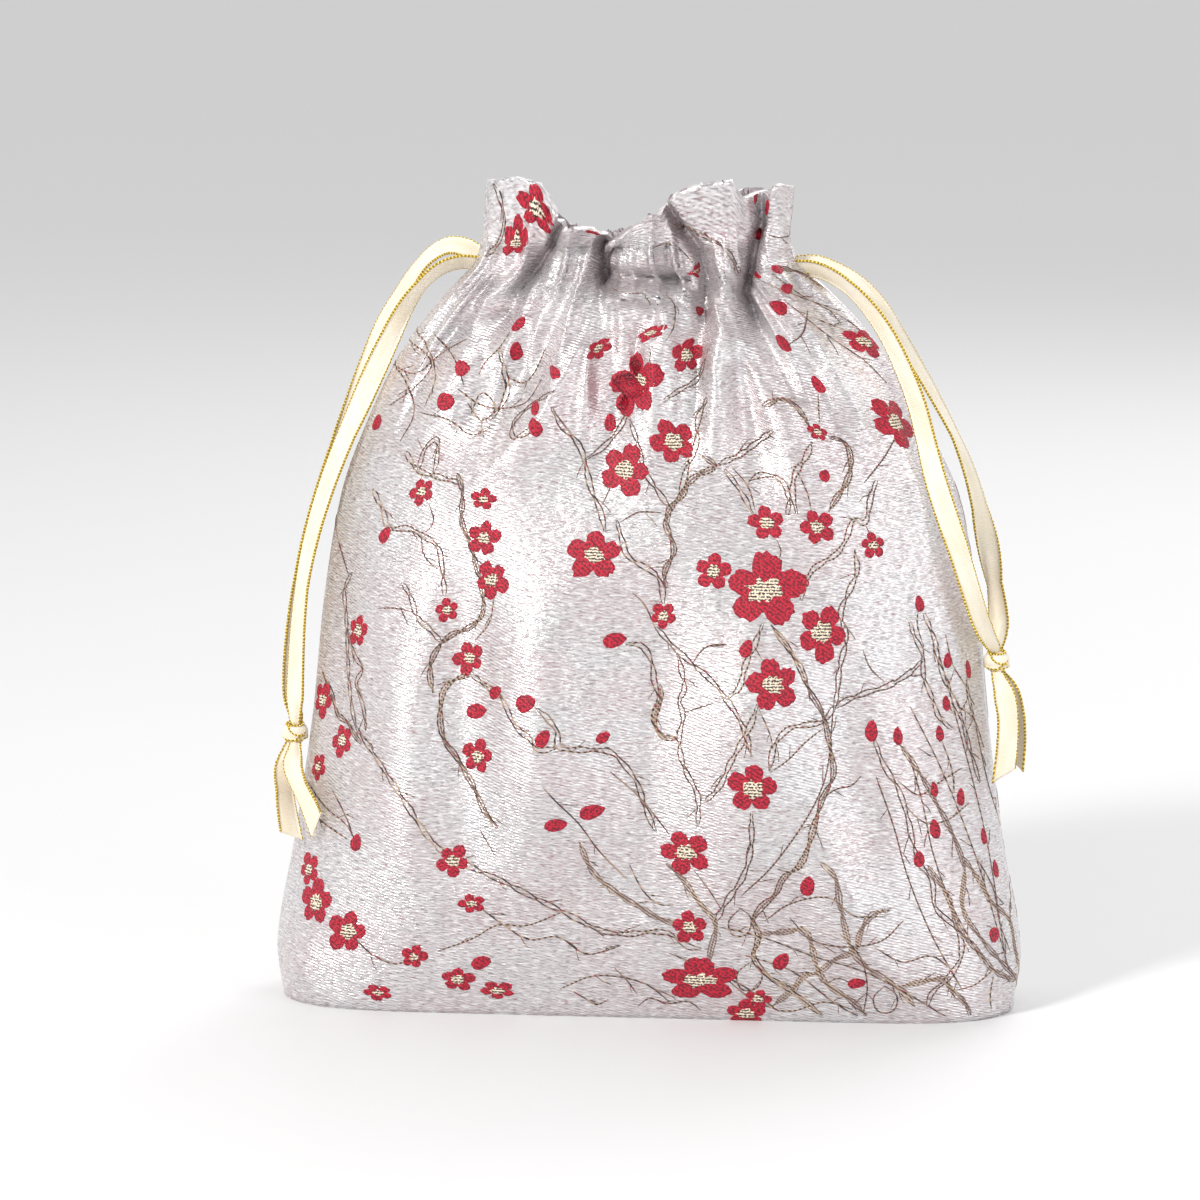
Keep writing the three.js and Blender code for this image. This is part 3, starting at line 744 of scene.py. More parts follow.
# Buds: across, height, width, length, and degrees its tip leans from upright.
BUDS = [
    (-36.9, 193, 3.6, 5.2, 10), (-37.4, 185.7, 3.8, 5.6, -10), (-52.6, 180.8, 3.6, 5.4, -45),
    (-27, 180, 3.2, 6.4, -70), (-57.4, 171.3, 4.6, 6.2, -50), (-32, 169.8, 3.2, 5.6, -50),
    (-32, 164.4, 3.6, 5.6, -30), (-76.6, 165.2, 3.4, 5, -20), (-10.9, 166, 3.2, 5, 10),
    (-74.6, 133.4, 3.6, 5, 30), (-9.7, 104.5, 4, 6.4, 80), (-43.4, 89, 3.4, 4.6, 60),
    (-34.9, 86, 4.8, 6, 70), (-48.6, 83.6, 4.2, 6.4, 80), (-30, 76, 3.6, 5.2, 30),
    (-12.9, 76.7, 2.8, 4.2, 60), (-16, 55.3, 4, 7.2, 75), (-26.3, 51.2, 3.6, 6.4, 80),
    (-83.4, 45, 3.8, 5, 10), (14, 197.6, 2.6, 4.6, 85), (35.7, 209, 3.2, 5.4, 80),
    (29.7, 207.7, 3, 4.6, 20), (38.3, 204, 3.2, 5, 60), (35.7, 199, 4, 6, 75), (36.9, 189, 3.6, 5.4, 0),
    (47, 177.3, 3.2, 5.6, 5), (49, 151.9, 2.8, 3.8, 40), (27.4, 102.7, 3.4, 5, 20),
    (75.7, 116.3, 2.8, 4.6, 0), (83.7, 100.4, 2.8, 4.4, 10), (89.4, 98, 2.8, 5, 0),
    (83.4, 88.3, 2.6, 4.2, 0), (62.6, 80, 3.4, 6, 10), (70, 78.7, 2.8, 5, 0), (81.7, 79.6, 2.8, 4.4, 0),
    (80.3, 63.7, 2.4, 4.2, 0), (87.7, 61.7, 2.8, 5, 10), (80.6, 52.4, 3.2, 5.4, 0),
    (94.3, 50.7, 2.6, 4.6, 0), (76.3, 43.7, 3.2, 4.6, 10), (97.7, 41.4, 3, 5, 0),
    (100.6, 45.7, 2.6, 4.6, 0), (45, 35.3, 3.8, 6, 20), (97.7, 22.6, 4, 5, 70), (104, 26, 3, 7, 0),
    (37.7, 13.4, 4, 5.4, 30), (59, 7.6, 3.2, 5, 80), (-47.7, 11, 4, 5.6, 70), (-16.6, 224.4, 3, 6.4, 80),
    (28.8, 232, 3.2, 5, 20), (32.6, 226.4, 3.4, 5.4, -10), (30.4, 219, 3, 5, 20), (-98, 60, 3, 5, 0),
]

# Branches, each woven as two yarns that part and meet.
BRANCHES = [
    [(-44.6, 234), (-42, 229), (-40.6, 222.7), (-42, 216), (-45.7, 212)],
    [(-42, 186.5), (-40.6, 180), (-39.7, 174.7), (-42, 169.5), (-45.7, 165.7)],
    [(-26.6, 174.7), (-30.3, 172.4), (-35.4, 168.6), (-38.3, 165), (-38.3, 161.4), (-34.6, 162.8),
     (-31, 166.6)],
    [(-68.6, 157), (-65, 151.8), (-60.6, 150.4), (-56.3, 149.2), (-53, 148.4)],
    [(-65, 151.8), (-63, 158), (-59.7, 160.8), (-59.7, 154.7), (-60.6, 151.2)],
    [(-54, 151.2), (-52.6, 146.6), (-52.6, 136.5), (-50.3, 131.3), (-49, 126), (-47, 118), (-47, 111.3),
     (-50.3, 107.6), (-55, 105.6), (-58.3, 103.2), (-61.4, 98), (-62, 93.7), (-61, 88.5)],
    [(-78, 146.3), (-75, 140), (-73.4, 135.3), (-67.7, 135.3), (-64.3, 133.6), (-59.7, 130.4),
     (-58.3, 123.8), (-57.7, 116.5)],
    [(-69.4, 119.4), (-67, 115), (-65.7, 110.5), (-61.4, 106), (-59, 103.2)],
    [(-50.3, 94), (-54, 92.8), (-57.7, 90), (-59, 84.2), (-59, 79), (-57.7, 74.3), (-55, 71), (-52.6, 67),
     (-50.3, 63), (-46.6, 55), (-43, 50)],
    [(-50.3, 94), (-46, 90.8), (-41.7, 87.6), (-39.4, 82.4), (-37, 78.4), (-33.7, 76), (-31.7, 72.6),
     (-26, 73.5)],
    [(-32, 84.7), (-28.6, 81.8), (-25.7, 77.5), (-25.7, 73.7), (-18.3, 73), (-11, 72.6), (-6.6, 68.5),
     (-3, 63.3), (-1.4, 58), (2, 50)],
    [(-84, 122.3), (-86, 118), (-85.7, 110.5), (-85.4, 101.8), (-85, 91.4), (-84.3, 84.2), (-83, 78)],
    [(-85.4, 106), (-83, 98), (-81, 95), (-83, 91.4), (-81, 84.2), (-80.3, 77.5)],
    [(-92.6, 94), (-89.7, 87), (-88.3, 81.8), (-85.4, 79.5), (-84, 76.6), (-81.7, 73.7)],
    [(-83, 78), (-79, 72), (-71, 59.6), (-59.4, 43.7), (-42.3, 35), (-25, 26.6), (-13, 21), (-7, 20.2),
     (5, 21), (11.4, 17), (15, 16.5)],
    [(15.7, 184.2), (13.4, 178.4), (8.3, 175.2), (4, 172.4)],
    [(16, 173.2), (13.4, 165.7), (13.4, 161.4), (10.6, 153.3), (8.3, 145.2)],
    [(-5.4, 169.5), (-9, 163.4), (-13, 159), (-18, 155.3)],
    [(-5.4, 167), (-3.4, 160.5), (-1, 151.8), (2.6, 146.6), (6.3, 141.4)],
    [(-27.4, 170), (-24.6, 165), (-20, 160), (-18, 154.7), (-16.3, 147.2), (-13.4, 140), (-12.4, 135)],
    [(-9, 138.5), (-7.4, 132), (-6, 128.4), (1.4, 123.8), (3.4, 121), (4, 115)],
    [(-6.6, 103.5), (-2.3, 103.2), (0.6, 99), (1.7, 92.2), (3, 87.6), (1.7, 84.2), (2, 79)],
    [(14.6, 157), (18.9, 154), (16, 152.7), (11.4, 149.8), (9.4, 146), (5.7, 141.7), (4.6, 138),
     (6.6, 132.7), (7, 129.8), (4.3, 123.8), (5, 119.4)],
    [(18.9, 154.4), (24.6, 157), (34.6, 164.3)],
    [(31.7, 171), (37, 173.2), (41, 171), (44, 166.6), (45.4, 163.7)],
    [(45.4, 161.4), (43.4, 156.2), (41, 153), (40, 147.5), (41.4, 140.8)],
    [(50, 162.8), (54.3, 161.4), (56, 158), (56, 152.7), (53.7, 147.5), (51.7, 144.6), (50.3, 141.7)],
    [(21, 153.3), (25.4, 147.5), (29, 141)],
    [(27.7, 149.8), (31, 151.8), (37, 150.4), (39, 145.2), (38.6, 140.8)],
    [(63.4, 150.7), (61.7, 145.2), (60.3, 138.5), (57.4, 140), (55.4, 135), (53, 130.4), (46.6, 126),
     (43.7, 121.7), (42.6, 116.5)],
    [(57.4, 131.3), (58.3, 125.2), (56, 119.4), (53.7, 113.6), (55.4, 106), (53.7, 99), (53, 91.4),
     (52.3, 87)],
    [(52.3, 86.2), (55.4, 88.5), (61, 90.8), (67, 92.8), (73, 96.6), (76.6, 100.3)],
    [(32, 110), (29.7, 103.8), (27, 97.5), (25.4, 91.4), (21.7, 88.5)],
    [(34.3, 109.6), (38.6, 103.8), (42.3, 98), (45, 91.4), (49, 84.2), (51, 75.2), (52, 67), (49, 60.4),
     (45, 46.5), (42.6, 41), (38, 37.3), (36, 32.7), (32, 29), (29.7, 25.2), (31.4, 20.5), (29.7, 15),
     (33.4, 9.5), (40.6, 5), (46.3, 0.3), (52, -4)],
    [(2, 108.4), (6.6, 103.2), (12.3, 98), (17.4, 93.7), (21.7, 88.5), (27, 79.5), (29, 72)],
    [(8, 101), (9.4, 95.7), (10, 90.8), (8.6, 87.6), (9.7, 83.3), (8.6, 76.6), (10, 68.5), (13.7, 61),
     (14, 52)],
    [(3, 92.2), (3.4, 87.6), (1.4, 82.4), (3.4, 77.5), (8, 76.6)],
    [(30.6, 87), (29, 81.8), (27, 77.5), (23, 70), (19.7, 62.8), (16, 59)],
    [(52.3, 87), (49, 82.4), (40, 80.4), (35.7, 76), (34, 68)],
    [(29, 56), (29, 46.5), (27, 38.2), (21.4, 29), (19, 24.3)],
    [(73, 111.3), (74.3, 107), (76.6, 102.4), (77, 95.7), (79.4, 90), (81.4, 84.2), (85, 81)],
    [(77, 113.6), (80, 106), (81.4, 99), (84.6, 91.4), (87.4, 84.7), (90, 76), (93, 66)],
    [(63.4, 77.5), (66.3, 70), (70, 64.2), (72, 59), (76.3, 42.8), (80, 37.3), (81, 29.8), (87.4, 23.4),
     (88.3, 16), (84.6, 9.5), (80, 5), (79, 1.2)],
    [(70.6, 76.3), (75, 70), (78.6, 64.2), (81.4, 59), (86, 50), (89, 41), (88.6, 29.8), (94.6, 20.5),
     (101, 13.3), (105, 9.5)],
    [(31.4, 21), (39, 22), (44.3, 22.6), (46.3, 18), (48, 11.3), (51, 6.7), (56.3, 3.5), (60, 0.3),
     (63.4, -3.5)],
    [(48.6, 42), (52.6, 38.2), (54.3, 29), (57.7, 17), (61.7, 12.4), (66.3, 9.5), (71.7, 5.8), (75.4, 1.2)],
    [(68, 29), (63.4, 27.5), (60, 22.6), (58.6, 17), (53.4, 14.7), (48, 10.4), (44.3, 9.5), (40.6, 5),
     (35, 0.3)],
    [(71.7, 7.2), (80, 9), (83.7, 9.5), (85.4, 6.7), (90, 2), (92, -4)],
    [(78.6, 42), (84.6, 32.7), (87.4, 24.3), (93.7, 17), (97.4, 12.4), (103.4, 9.5)],
    [(88.3, 44.8), (93, 38.2), (96.6, 31.8), (101.6, 27.2), (103.4, 18.8), (105, 10.4)],
    [(5, 41), (9.7, 36.4), (14.3, 29.8), (19, 24.3), (17.7, 16), (17, 11.3)],
    [(-19.7, 46.5), (-16, 38.2), (-8.6, 31.8), (-2.3, 28), (3, 25), (10, 23)],
    [(34.6, 210), (42.6, 208), (50, 203), (55, 199.5)],
    [(8.3, 222), (13.4, 219), (19.4, 216), (23, 212.3), (25, 208)],
]

# Finer twigs, each one yarn.
TWIGS = [
    [(-29, 186.5), (-32.6, 179), (-35.4, 176.7), (-39.7, 178.4)],
    [(-39, 191), (-42, 186.5), (-46.3, 182), (-47.7, 179)],
    [(-51, 171), (-47, 166), (-43, 170), (-47, 174), (-50, 168)],
    [(-66, 192), (-62, 186), (-60, 178), (-63, 170)], [(-60, 190), (-55, 184), (-52, 176)],
    [(-72, 182), (-68, 176), (-66, 168), (-70, 160)], [(-62, 142.3), (-60.6, 137), (-63.4, 134)],
    [(-64.3, 133.6), (-63.4, 127.5), (-59.7, 123.8)], [(-76.6, 112.5), (-71.4, 112.5), (-67, 111.6)],
    [(-43.7, 116.5), (-45, 109), (-49, 103.8)], [(-30, 62), (-26.3, 58), (-20, 52), (-14, 44), (-6, 36)],
    [(-89, 139.4), (-87.4, 130.4), (-85, 122)], [(-11.4, 204), (-7, 202), (-1.7, 202), (0.3, 199)],
    [(4.6, 202), (7, 199), (6.3, 191.4), (4, 188.5)], [(0.3, 186.5), (0, 181.3)],
    [(-13, 143), (-10.3, 149)], [(-8, 138), (-3, 140.8), (3.4, 140.8)],
    [(-4.6, 118), (-1.4, 115), (2, 107.6)], [(0.6, 214.6), (4, 216), (7.7, 215.2), (12, 210.8)],
    [(47, 174.7), (47.4, 166.6)], [(23, 154), (27.7, 148.4), (29.7, 141.7)],
    [(41.4, 153), (44.3, 146.6), (45.4, 141.7)], [(60.3, 138.5), (61.7, 135.6)],
    [(35.7, 133.6), (37, 130.4), (36.3, 127.8)], [(10, 84.2), (18, 87)],
    [(31, 85.6), (34.3, 78), (35, 74.3)], [(34.3, 67.7), (39, 71), (44.3, 76.6), (49, 80.4)],
    [(48, 59.6), (53, 63.3), (57, 64.2), (59.7, 67)], [(83, 107.6), (85, 99.5), (89.4, 90.8), (86.6, 84.7)],
    [(82.3, 77.5), (85, 70), (86, 62.8)], [(32.3, 219), (36, 218), (40.3, 219.5), (41.4, 227)],
    [(26.6, 208), (34, 204.7), (42.6, 201.3), (54.3, 197.5)], [(45.4, 196), (55, 192.3)],
    [(44, 198), (42.6, 191.4), (39, 188.5)], [(-48, 49.5), (-43.7, 42.2)],
    [(26.3, 32), (36, 42), (49, 64), (52, 87)], [(102, 12), (92, 45), (82, 70), (73.4, 87)],
    [(101, 14), (95, 50), (86, 85), (80.6, 104.4)], [(87.4, 6.4), (92, 7.8), (97.4, 12.4)],
    [(97.4, 10.4), (96.6, 4), (98.3, -3.5)], [(105, 7.8), (102, 1.2), (100, -3.5)],
    [(-5.4, 40.2), (-1.4, 32.7), (3, 29), (7, 29)], [(13, 39), (17.7, 32.7), (20.6, 28)],
    [(-25, 18.8), (-17.7, 14.2), (-13, 15), (-7.7, 17)], [(-9.7, 10.4), (-6, 6.7), (-3, 2.6)],
    [(-22.3, 3.5), (-17.7, 1.2), (-15, -0.6), (-11.4, 1.2)],
    [(-3, -0.6), (0.6, 2), (5, 0.3), (11.4, 1.2), (15, -1.4)],
    [(26, 28.4), (29, 26), (28, 21), (24, 20.6), (22.6, 24.4), (26, 28.4)],
    [(29, 13), (32.4, 10), (30.6, 5.4), (26.4, 5), (25, 9.4), (29, 13)],
    [(67, 7), (70.4, 4.4), (69.6, 0), (65.4, -0.6), (63.6, 3.4), (67, 7)],
    [(-97, 62), (-92, 55), (-86, 50), (-83.5, 45)], [(-90, 60), (-86, 52), (-84, 46)],
    [(-98, 55), (-92, 50), (-86, 46)], [(-86, 19), (-78, 12), (-72, 10), (-67, 12.2)],
    [(-60, 14), (-50, 18), (-43, 22), (-35, 22), (-25, 26)], [(75.7, 116), (75, 111), (77, 104)],
    [(89.4, 98), (89, 92), (91, 84)], [(58, 7), (54, 9), (50, 7)], [(72, 59), (78, 54), (84, 55), (90, 60)],
    [(86, 88), (91, 84), (94, 76)], [(70, 66), (76, 62), (82, 66), (88, 70)],
    [(92, 45), (97, 36), (99, 26), (102, 18)], [(60, 103), (62, 98), (66, 94)],
    [(12, 98), (16, 103), (22, 104)], [(-11, 67), (-5, 62), (-1, 58), (3, 53), (6, 49)],
    [(20, 23), (33, 20), (47, 15), (61, 11), (75, 4), (85, -2)], [(27, 15), (40, 11), (54, 1), (64, -4)],
    [(33, 25), (40, 30), (51, 32), (58, 27), (67, 27)], [(54, 22), (60, 15), (62, 7), (61, -1)],
    [(6, 15), (16, 11), (27, 6), (37, -1)], [(40, 26), (46, 20), (55, 18), (66, 20), (72, 26)],
    [(22, 8), (30, 2), (40, -1), (50, 2), (58, 0)], [(64, 18), (72, 14), (80, 16), (86, 12)],
    [(-25, 4), (-15, 8), (-1, 6), (6, 1)], [(-52, 30), (-44, 24), (-34, 18), (-26, 19), (-18, 14)],
    [(64, 67), (69, 53), (73, 39), (80, 22), (89, 6)], [(73, 74), (77, 60), (80, 46), (85, 32), (94, 15)],
    [(89, 95), (95, 67), (101, 46), (102, 25)], [(-68, 189), (-61, 182), (-66, 175), (-73, 170)],
    [(-73, 182), (-66, 179), (-58, 185), (-51, 189)], [(-54, 175), (-46, 170), (-35, 171), (-30, 178)],
    [(-64, 168), (-56, 166), (-50, 162), (-44, 164)], [(34, 208), (44, 201), (54, 196), (63, 189)],
    [(37, 201), (51, 190), (60, 184), (66, 178)], [(60, 150), (66, 158), (70, 166)],
]

STEP_ALONG = 1.3  # between a yarn's points
TWIG_SEED = 11
YARN_WIDTH = 0.66
YARN_HEIGHT = 0.13
PALE_BELOW = 40.0  # branches whose middles lie lower are woven in tan
FILLED_SHARE = 0.25  # of the other branches, filled with tan between their two yarns
PETAL_HEIGHT = 0.17
HEART_HEIGHT = 0.27
SKIRT_DEPTH = -0.3  # the pattern's edges go this far under the cloth's face
PETAL_SLOT, HEART_SLOT, TWIG_SLOT, TAN_SLOT = range(4)


class Pattern:
    """The raised pattern on one panel, gathered as one mesh."""

    def __init__(self, panel):
        self.panel = panel
        self.points, self.faces, self.uvs, self.slots = [], [], [], []

    def add(self, u, v, height, faces, slot):
        """Adds points given in flat cloth coordinates, and the faces between them."""
        start = len(self.points)
        self.points.extend(self.panel.lift(u, v, height))
        self.uvs.extend(zip(u, v))
        for face in faces:
            shifted = tuple(start + index for index in face)
            self.faces.append(shifted if self.panel.out < 0 else shifted[::-1])
            self.slots.append(slot)

    def sideways(self, line):
        """The step in flat cloth coordinates that is a millimetre on the panel, square to the line."""
        scale = self.panel.stretch(line[:, 0], line[:, 1])
        tangent = unit(np.gradient(line, axis=0) * scale)
        return np.stack([-tangent[:, 1], tangent[:, 0]], axis=1) / scale

    def yarn(self, line, width, slot=TWIG_SLOT, height=YARN_HEIGHT):
        """A raised yarn along a line in flat cloth coordinates, tapered at both ends."""
        if len(line) < 3:
            return
        side = self.sideways(line)
        count = len(line)
        place = np.arange(count)
        taper = 0.35 + 0.65 * smooth(-0.5, 3, np.minimum(place, count - 1 - place))
        half = (width / 2 * taper)[:, None]
        corners = [(-1, SKIRT_DEPTH), (-0.5, height), (0.5, height), (1, SKIRT_DEPTH)]
        sheets = [line + side * half * across for across, _ in corners]
        u = np.stack([part[:, 0] for part in sheets], axis=1).ravel()
        v = np.stack([part[:, 1] for part in sheets], axis=1).ravel()
        heights = np.tile([level for _, level in corners], count)
        faces = []
        for index in range(count - 1):
            a = index * 4
            faces += [(a + k, a + (k + 1) % 4, a + 4 + (k + 1) % 4, a + 4 + k) for k in range(4)]
        last = (count - 1) * 4
        faces += [(3, 2, 1, 0), (last, last + 1, last + 2, last + 3)]
        self.add(u, v, heights, faces, slot)

    def patch(self, place, outline, rise, slot, rings=5):
        """A raised patch. outline gives its edge from its middle in millimetres, all the way round."""
        scale = self.panel.stretch(np.array([place[0]]), np.array([place[1]]))[0]
        count = len(outline)
        shares = np.concatenate([np.linspace(0, 1, rings + 1)[1:], [1.02, 1.02]])
        levels = np.concatenate([rise * (1 - 0.25 * shares[:rings] ** 3), [0.0, SKIRT_DEPTH]])
        u = [place[0]]
        v = [place[1]]
        heights = [rise]
        for share, level in zip(shares, levels):
            u += list(place[0] + outline[:, 0] * share / scale[0])
            v += list(place[1] + outline[:, 1] * share / scale[1])
            heights += [level] * count
        faces = [(0, 1 + k, 1 + (k + 1) % count) for k in range(count)]
        for ring in range(len(shares) - 1):
            a = 1 + ring * count
            for k in range(count):
                after = (k + 1) % count
                faces.append((a + k, a + count + k, a + count + after, a + after))
        bottom = 1 + (len(shares) - 1) * count
        faces.append(tuple(bottom + k for k in range(count))[::-1])
        self.add(np.array(u), np.array(v), np.array(heights), faces, slot)

    def blossom(self, place, width, tall, rng):
        """Five petals round a cream middle."""
        angle = np.linspace(0, 2 * math.pi, 70, endpoint=False)
        turn = rng.uniform(0, 2 * math.pi)
        petal = np.abs(np.cos(2.5 * (angle - turn)))
        sizes = 1 + rng.uniform(-0.12, 0.08, 5)
        which = np.round((angle - turn) / (2 * math.pi / 5)).astype(int) % 5
        reach = width / 2 * (0.40 + 0.62 * petal ** 0.42) * sizes[which]
        reach *= 1 + 0.03 * rng.standard_normal(len(angle))
        outline = np.stack([np.cos(angle) * reach, np.sin(angle) * reach * tall], axis=1)
        self.patch(place, outline, PETAL_HEIGHT, PETAL_SLOT, rings=max(6, round(0.6 * width)))
        angle = np.linspace(0, 2 * math.pi, 26, endpoint=False)
        reach = width * 0.17 * (1 + 0.16 * rng.standard_normal(len(angle)))
        heart = np.stack([np.cos(angle) * reach * 1.15, np.sin(angle) * reach * tall], axis=1)
        self.patch(place, heart, HEART_HEIGHT, HEART_SLOT, rings=3)

    def bud(self, place, width, length, lean, rng):
        """An oval bud, blunter at its foot."""
        angle = np.linspace(0, 2 * math.pi, 26, endpoint=False)
        lengthwise = np.cos(angle) * length / 2
        crosswise = np.sin(angle) * width / 2 * (1 - 0.2 * np.cos(angle))
        wobble = 1 + 0.03 * rng.standard_normal(len(angle))
        lean = math.radians(lean)
        across = (crosswise * math.cos(lean) + lengthwise * math.sin(lean)) * wobble
        up = (lengthwise * math.cos(lean) - crosswise * math.sin(lean)) * wobble
        outline = np.stack([across, up], axis=1)[::-1]
        self.patch(place, outline, PETAL_HEIGHT, PETAL_SLOT, rings=4)

    def branch(self, line, rng):
        """Two yarns that part and meet along a line, with tan weft filling some of the gaps."""
        side = self.sideways(line)
        place = np.arange(len(line)) * STEP_ALONG
        phase = rng.uniform(0, math.pi)
        gap = 0.62 * np.abs(np.sin(place / rng.uniform(6, 10) * math.pi + phase)) ** 0.7 + 0.12
        gap *= np.minimum(1, smooth(-1, 3, np.minimum(place, place[-1] - place)) + 0.2)
        jitter = rng.normal(0, 0.07, (2, len(line)))
        slot = TAN_SLOT if line[:, 1].mean() < PALE_BELOW else TWIG_SLOT
        self.yarn(line + side * (gap + jitter[0])[:, None], YARN_WIDTH, slot)
        self.yarn(line - side * (gap + jitter[1])[:, None], YARN_WIDTH, slot)
        if slot == TAN_SLOT or rng.uniform() < FILLED_SHARE:
            self.yarn(line, 0.9, TAN_SLOT, YARN_HEIGHT * 0.5)

    def sprigs(self, line, rng):
        """Short twigs growing from a branch on either side."""
        scale = self.panel.stretch(line[:, 0], line[:, 1])
        tangent = np.gradient(line, axis=0) * scale
        index = int(rng.uniform(4, 9))
        way = rng.choice([-1, 1])
        while index < len(line) - 3:
            heading = math.atan2(tangent[index, 1], tangent[index, 0]) + way * rng.uniform(0.5, 1.0)
            bend = -way * rng.uniform(0.02, 0.12)
            reach = rng.uniform(2.5, 7)
            points = [line[index]]
            for _ in range(int(reach / STEP_ALONG)):
                heading += bend + rng.normal(0, 0.08)
                step = np.array([math.cos(heading), math.sin(heading)]) * STEP_ALONG / scale[index]
                points.append(points[-1] + step)
            self.runs(np.array(points), lambda part: self.yarn(part, YARN_WIDTH * 0.8))
            index += int(rng.uniform(6, 14))
            way = -way

    def floats(self, line, rng):
        """Short weft threads that show beside a branch."""
        for place in line:
            if rng.uniform() < 0.35:
                continue
            scale = self.panel.stretch(place[:1], place[1:])[0]
            length = rng.uniform(1.5, 5.0) / scale[0]
            shift = rng.normal(0, 2.4) / scale[0]
            rise = rng.normal(0, 0.9) / scale[1]
            along = np.linspace(-0.5, 0.5, 3)
            thread = np.stack([place[0] + shift + along * length, np.full(3, place[1] + rise)], axis=1)
            self.runs(thread, lambda part: self.yarn(part, 0.24, TAN_SLOT, 0.05))

    def runs(self, line, draw):
        """Draws the parts of a line that lie on the panel."""
        u, v = line[:, 0], line[:, 1]
        inside = (np.abs(u) < CLOTH_WIDTH / 2 - 1) & (v > 0.5) & (v < self.panel.v[-1] - 0.4)
        start = None
        for index in range(len(line) + 1):
            if index < len(line) and inside[index]:
                start = index if start is None else start
            elif start is not None:
                if index - start > 2:
                    draw(line[start:index])
                start = None


def resample(line, spacing):
    """The line with points about that far apart."""
    along = lengths_along(line)
    return spaced(line, along, max(3, int(round(along[-1] / spacing))))


def weave_pattern(panel, layout, shift, materials):
    """Weaves the repeat on a panel. layout turns places seen on the front into flat cloth coordinates, and
    shift is how far along the cloth the panel was cut from the front's place."""
    pattern = Pattern(panel)
    rng = np.random.default_rng(TWIG_SEED)
    turns = (0,) if shift == 0 else (shift, shift - CLOTH_WIDTH)
    drawn = [(resample(layout(spline(line, 1.5)), STEP_ALONG), True) for line in BRANCHES]
    drawn += [(resample(layout(spline(line, 1.5)), STEP_ALONG), False) for line in TWIGS]
    for turn in turns:
        for line, is_branch in drawn:
            moved = line + np.array([turn, 0])
            if is_branch:
                pattern.runs(moved, lambda part: pattern.branch(part, rng))
                pattern.runs(moved, lambda part: pattern.floats(part, rng))
            else:
                pattern.runs(moved, lambda part: pattern.yarn(part, YARN_WIDTH))
            pattern.runs(moved, lambda part: pattern.sprigs(part, rng))
    for turn in turns:
        for x, z, width, tall in BLOSSOMS:
            place = layout(np.array([(x, z)], float))[0] + np.array([turn, 0])
            if abs(place[0]) < CLOTH_WIDTH / 2 - width / 2:
                pattern.blossom(place, width, tall, rng)
        for x, z, width, length, lean in BUDS:
            place = layout(np.array([(x, z)], float))[0] + np.array([turn, 0])
            if abs(place[0]) < CLOTH_WIDTH / 2 - length / 2:
                pattern.bud(place, width, length, lean, rng)
    name = f"{panel.side}_pattern"
    return make_object(name, pattern.points, pattern.faces, pattern.uvs, materials, pattern.slots)


# ---------------------------------------------------------------- ribbons

RIBBON_WIDTH = 6.0
RIBBON_HALF_THICK = 0.16
EDGE_RADIUS = 0.36  # of the gold thread along the ribbon's edges
EDGE_LOOPS = 0.07  # how far its loops stand out
EDGE_LOOP_RATE = 4.2  # radians of them to a millimetre

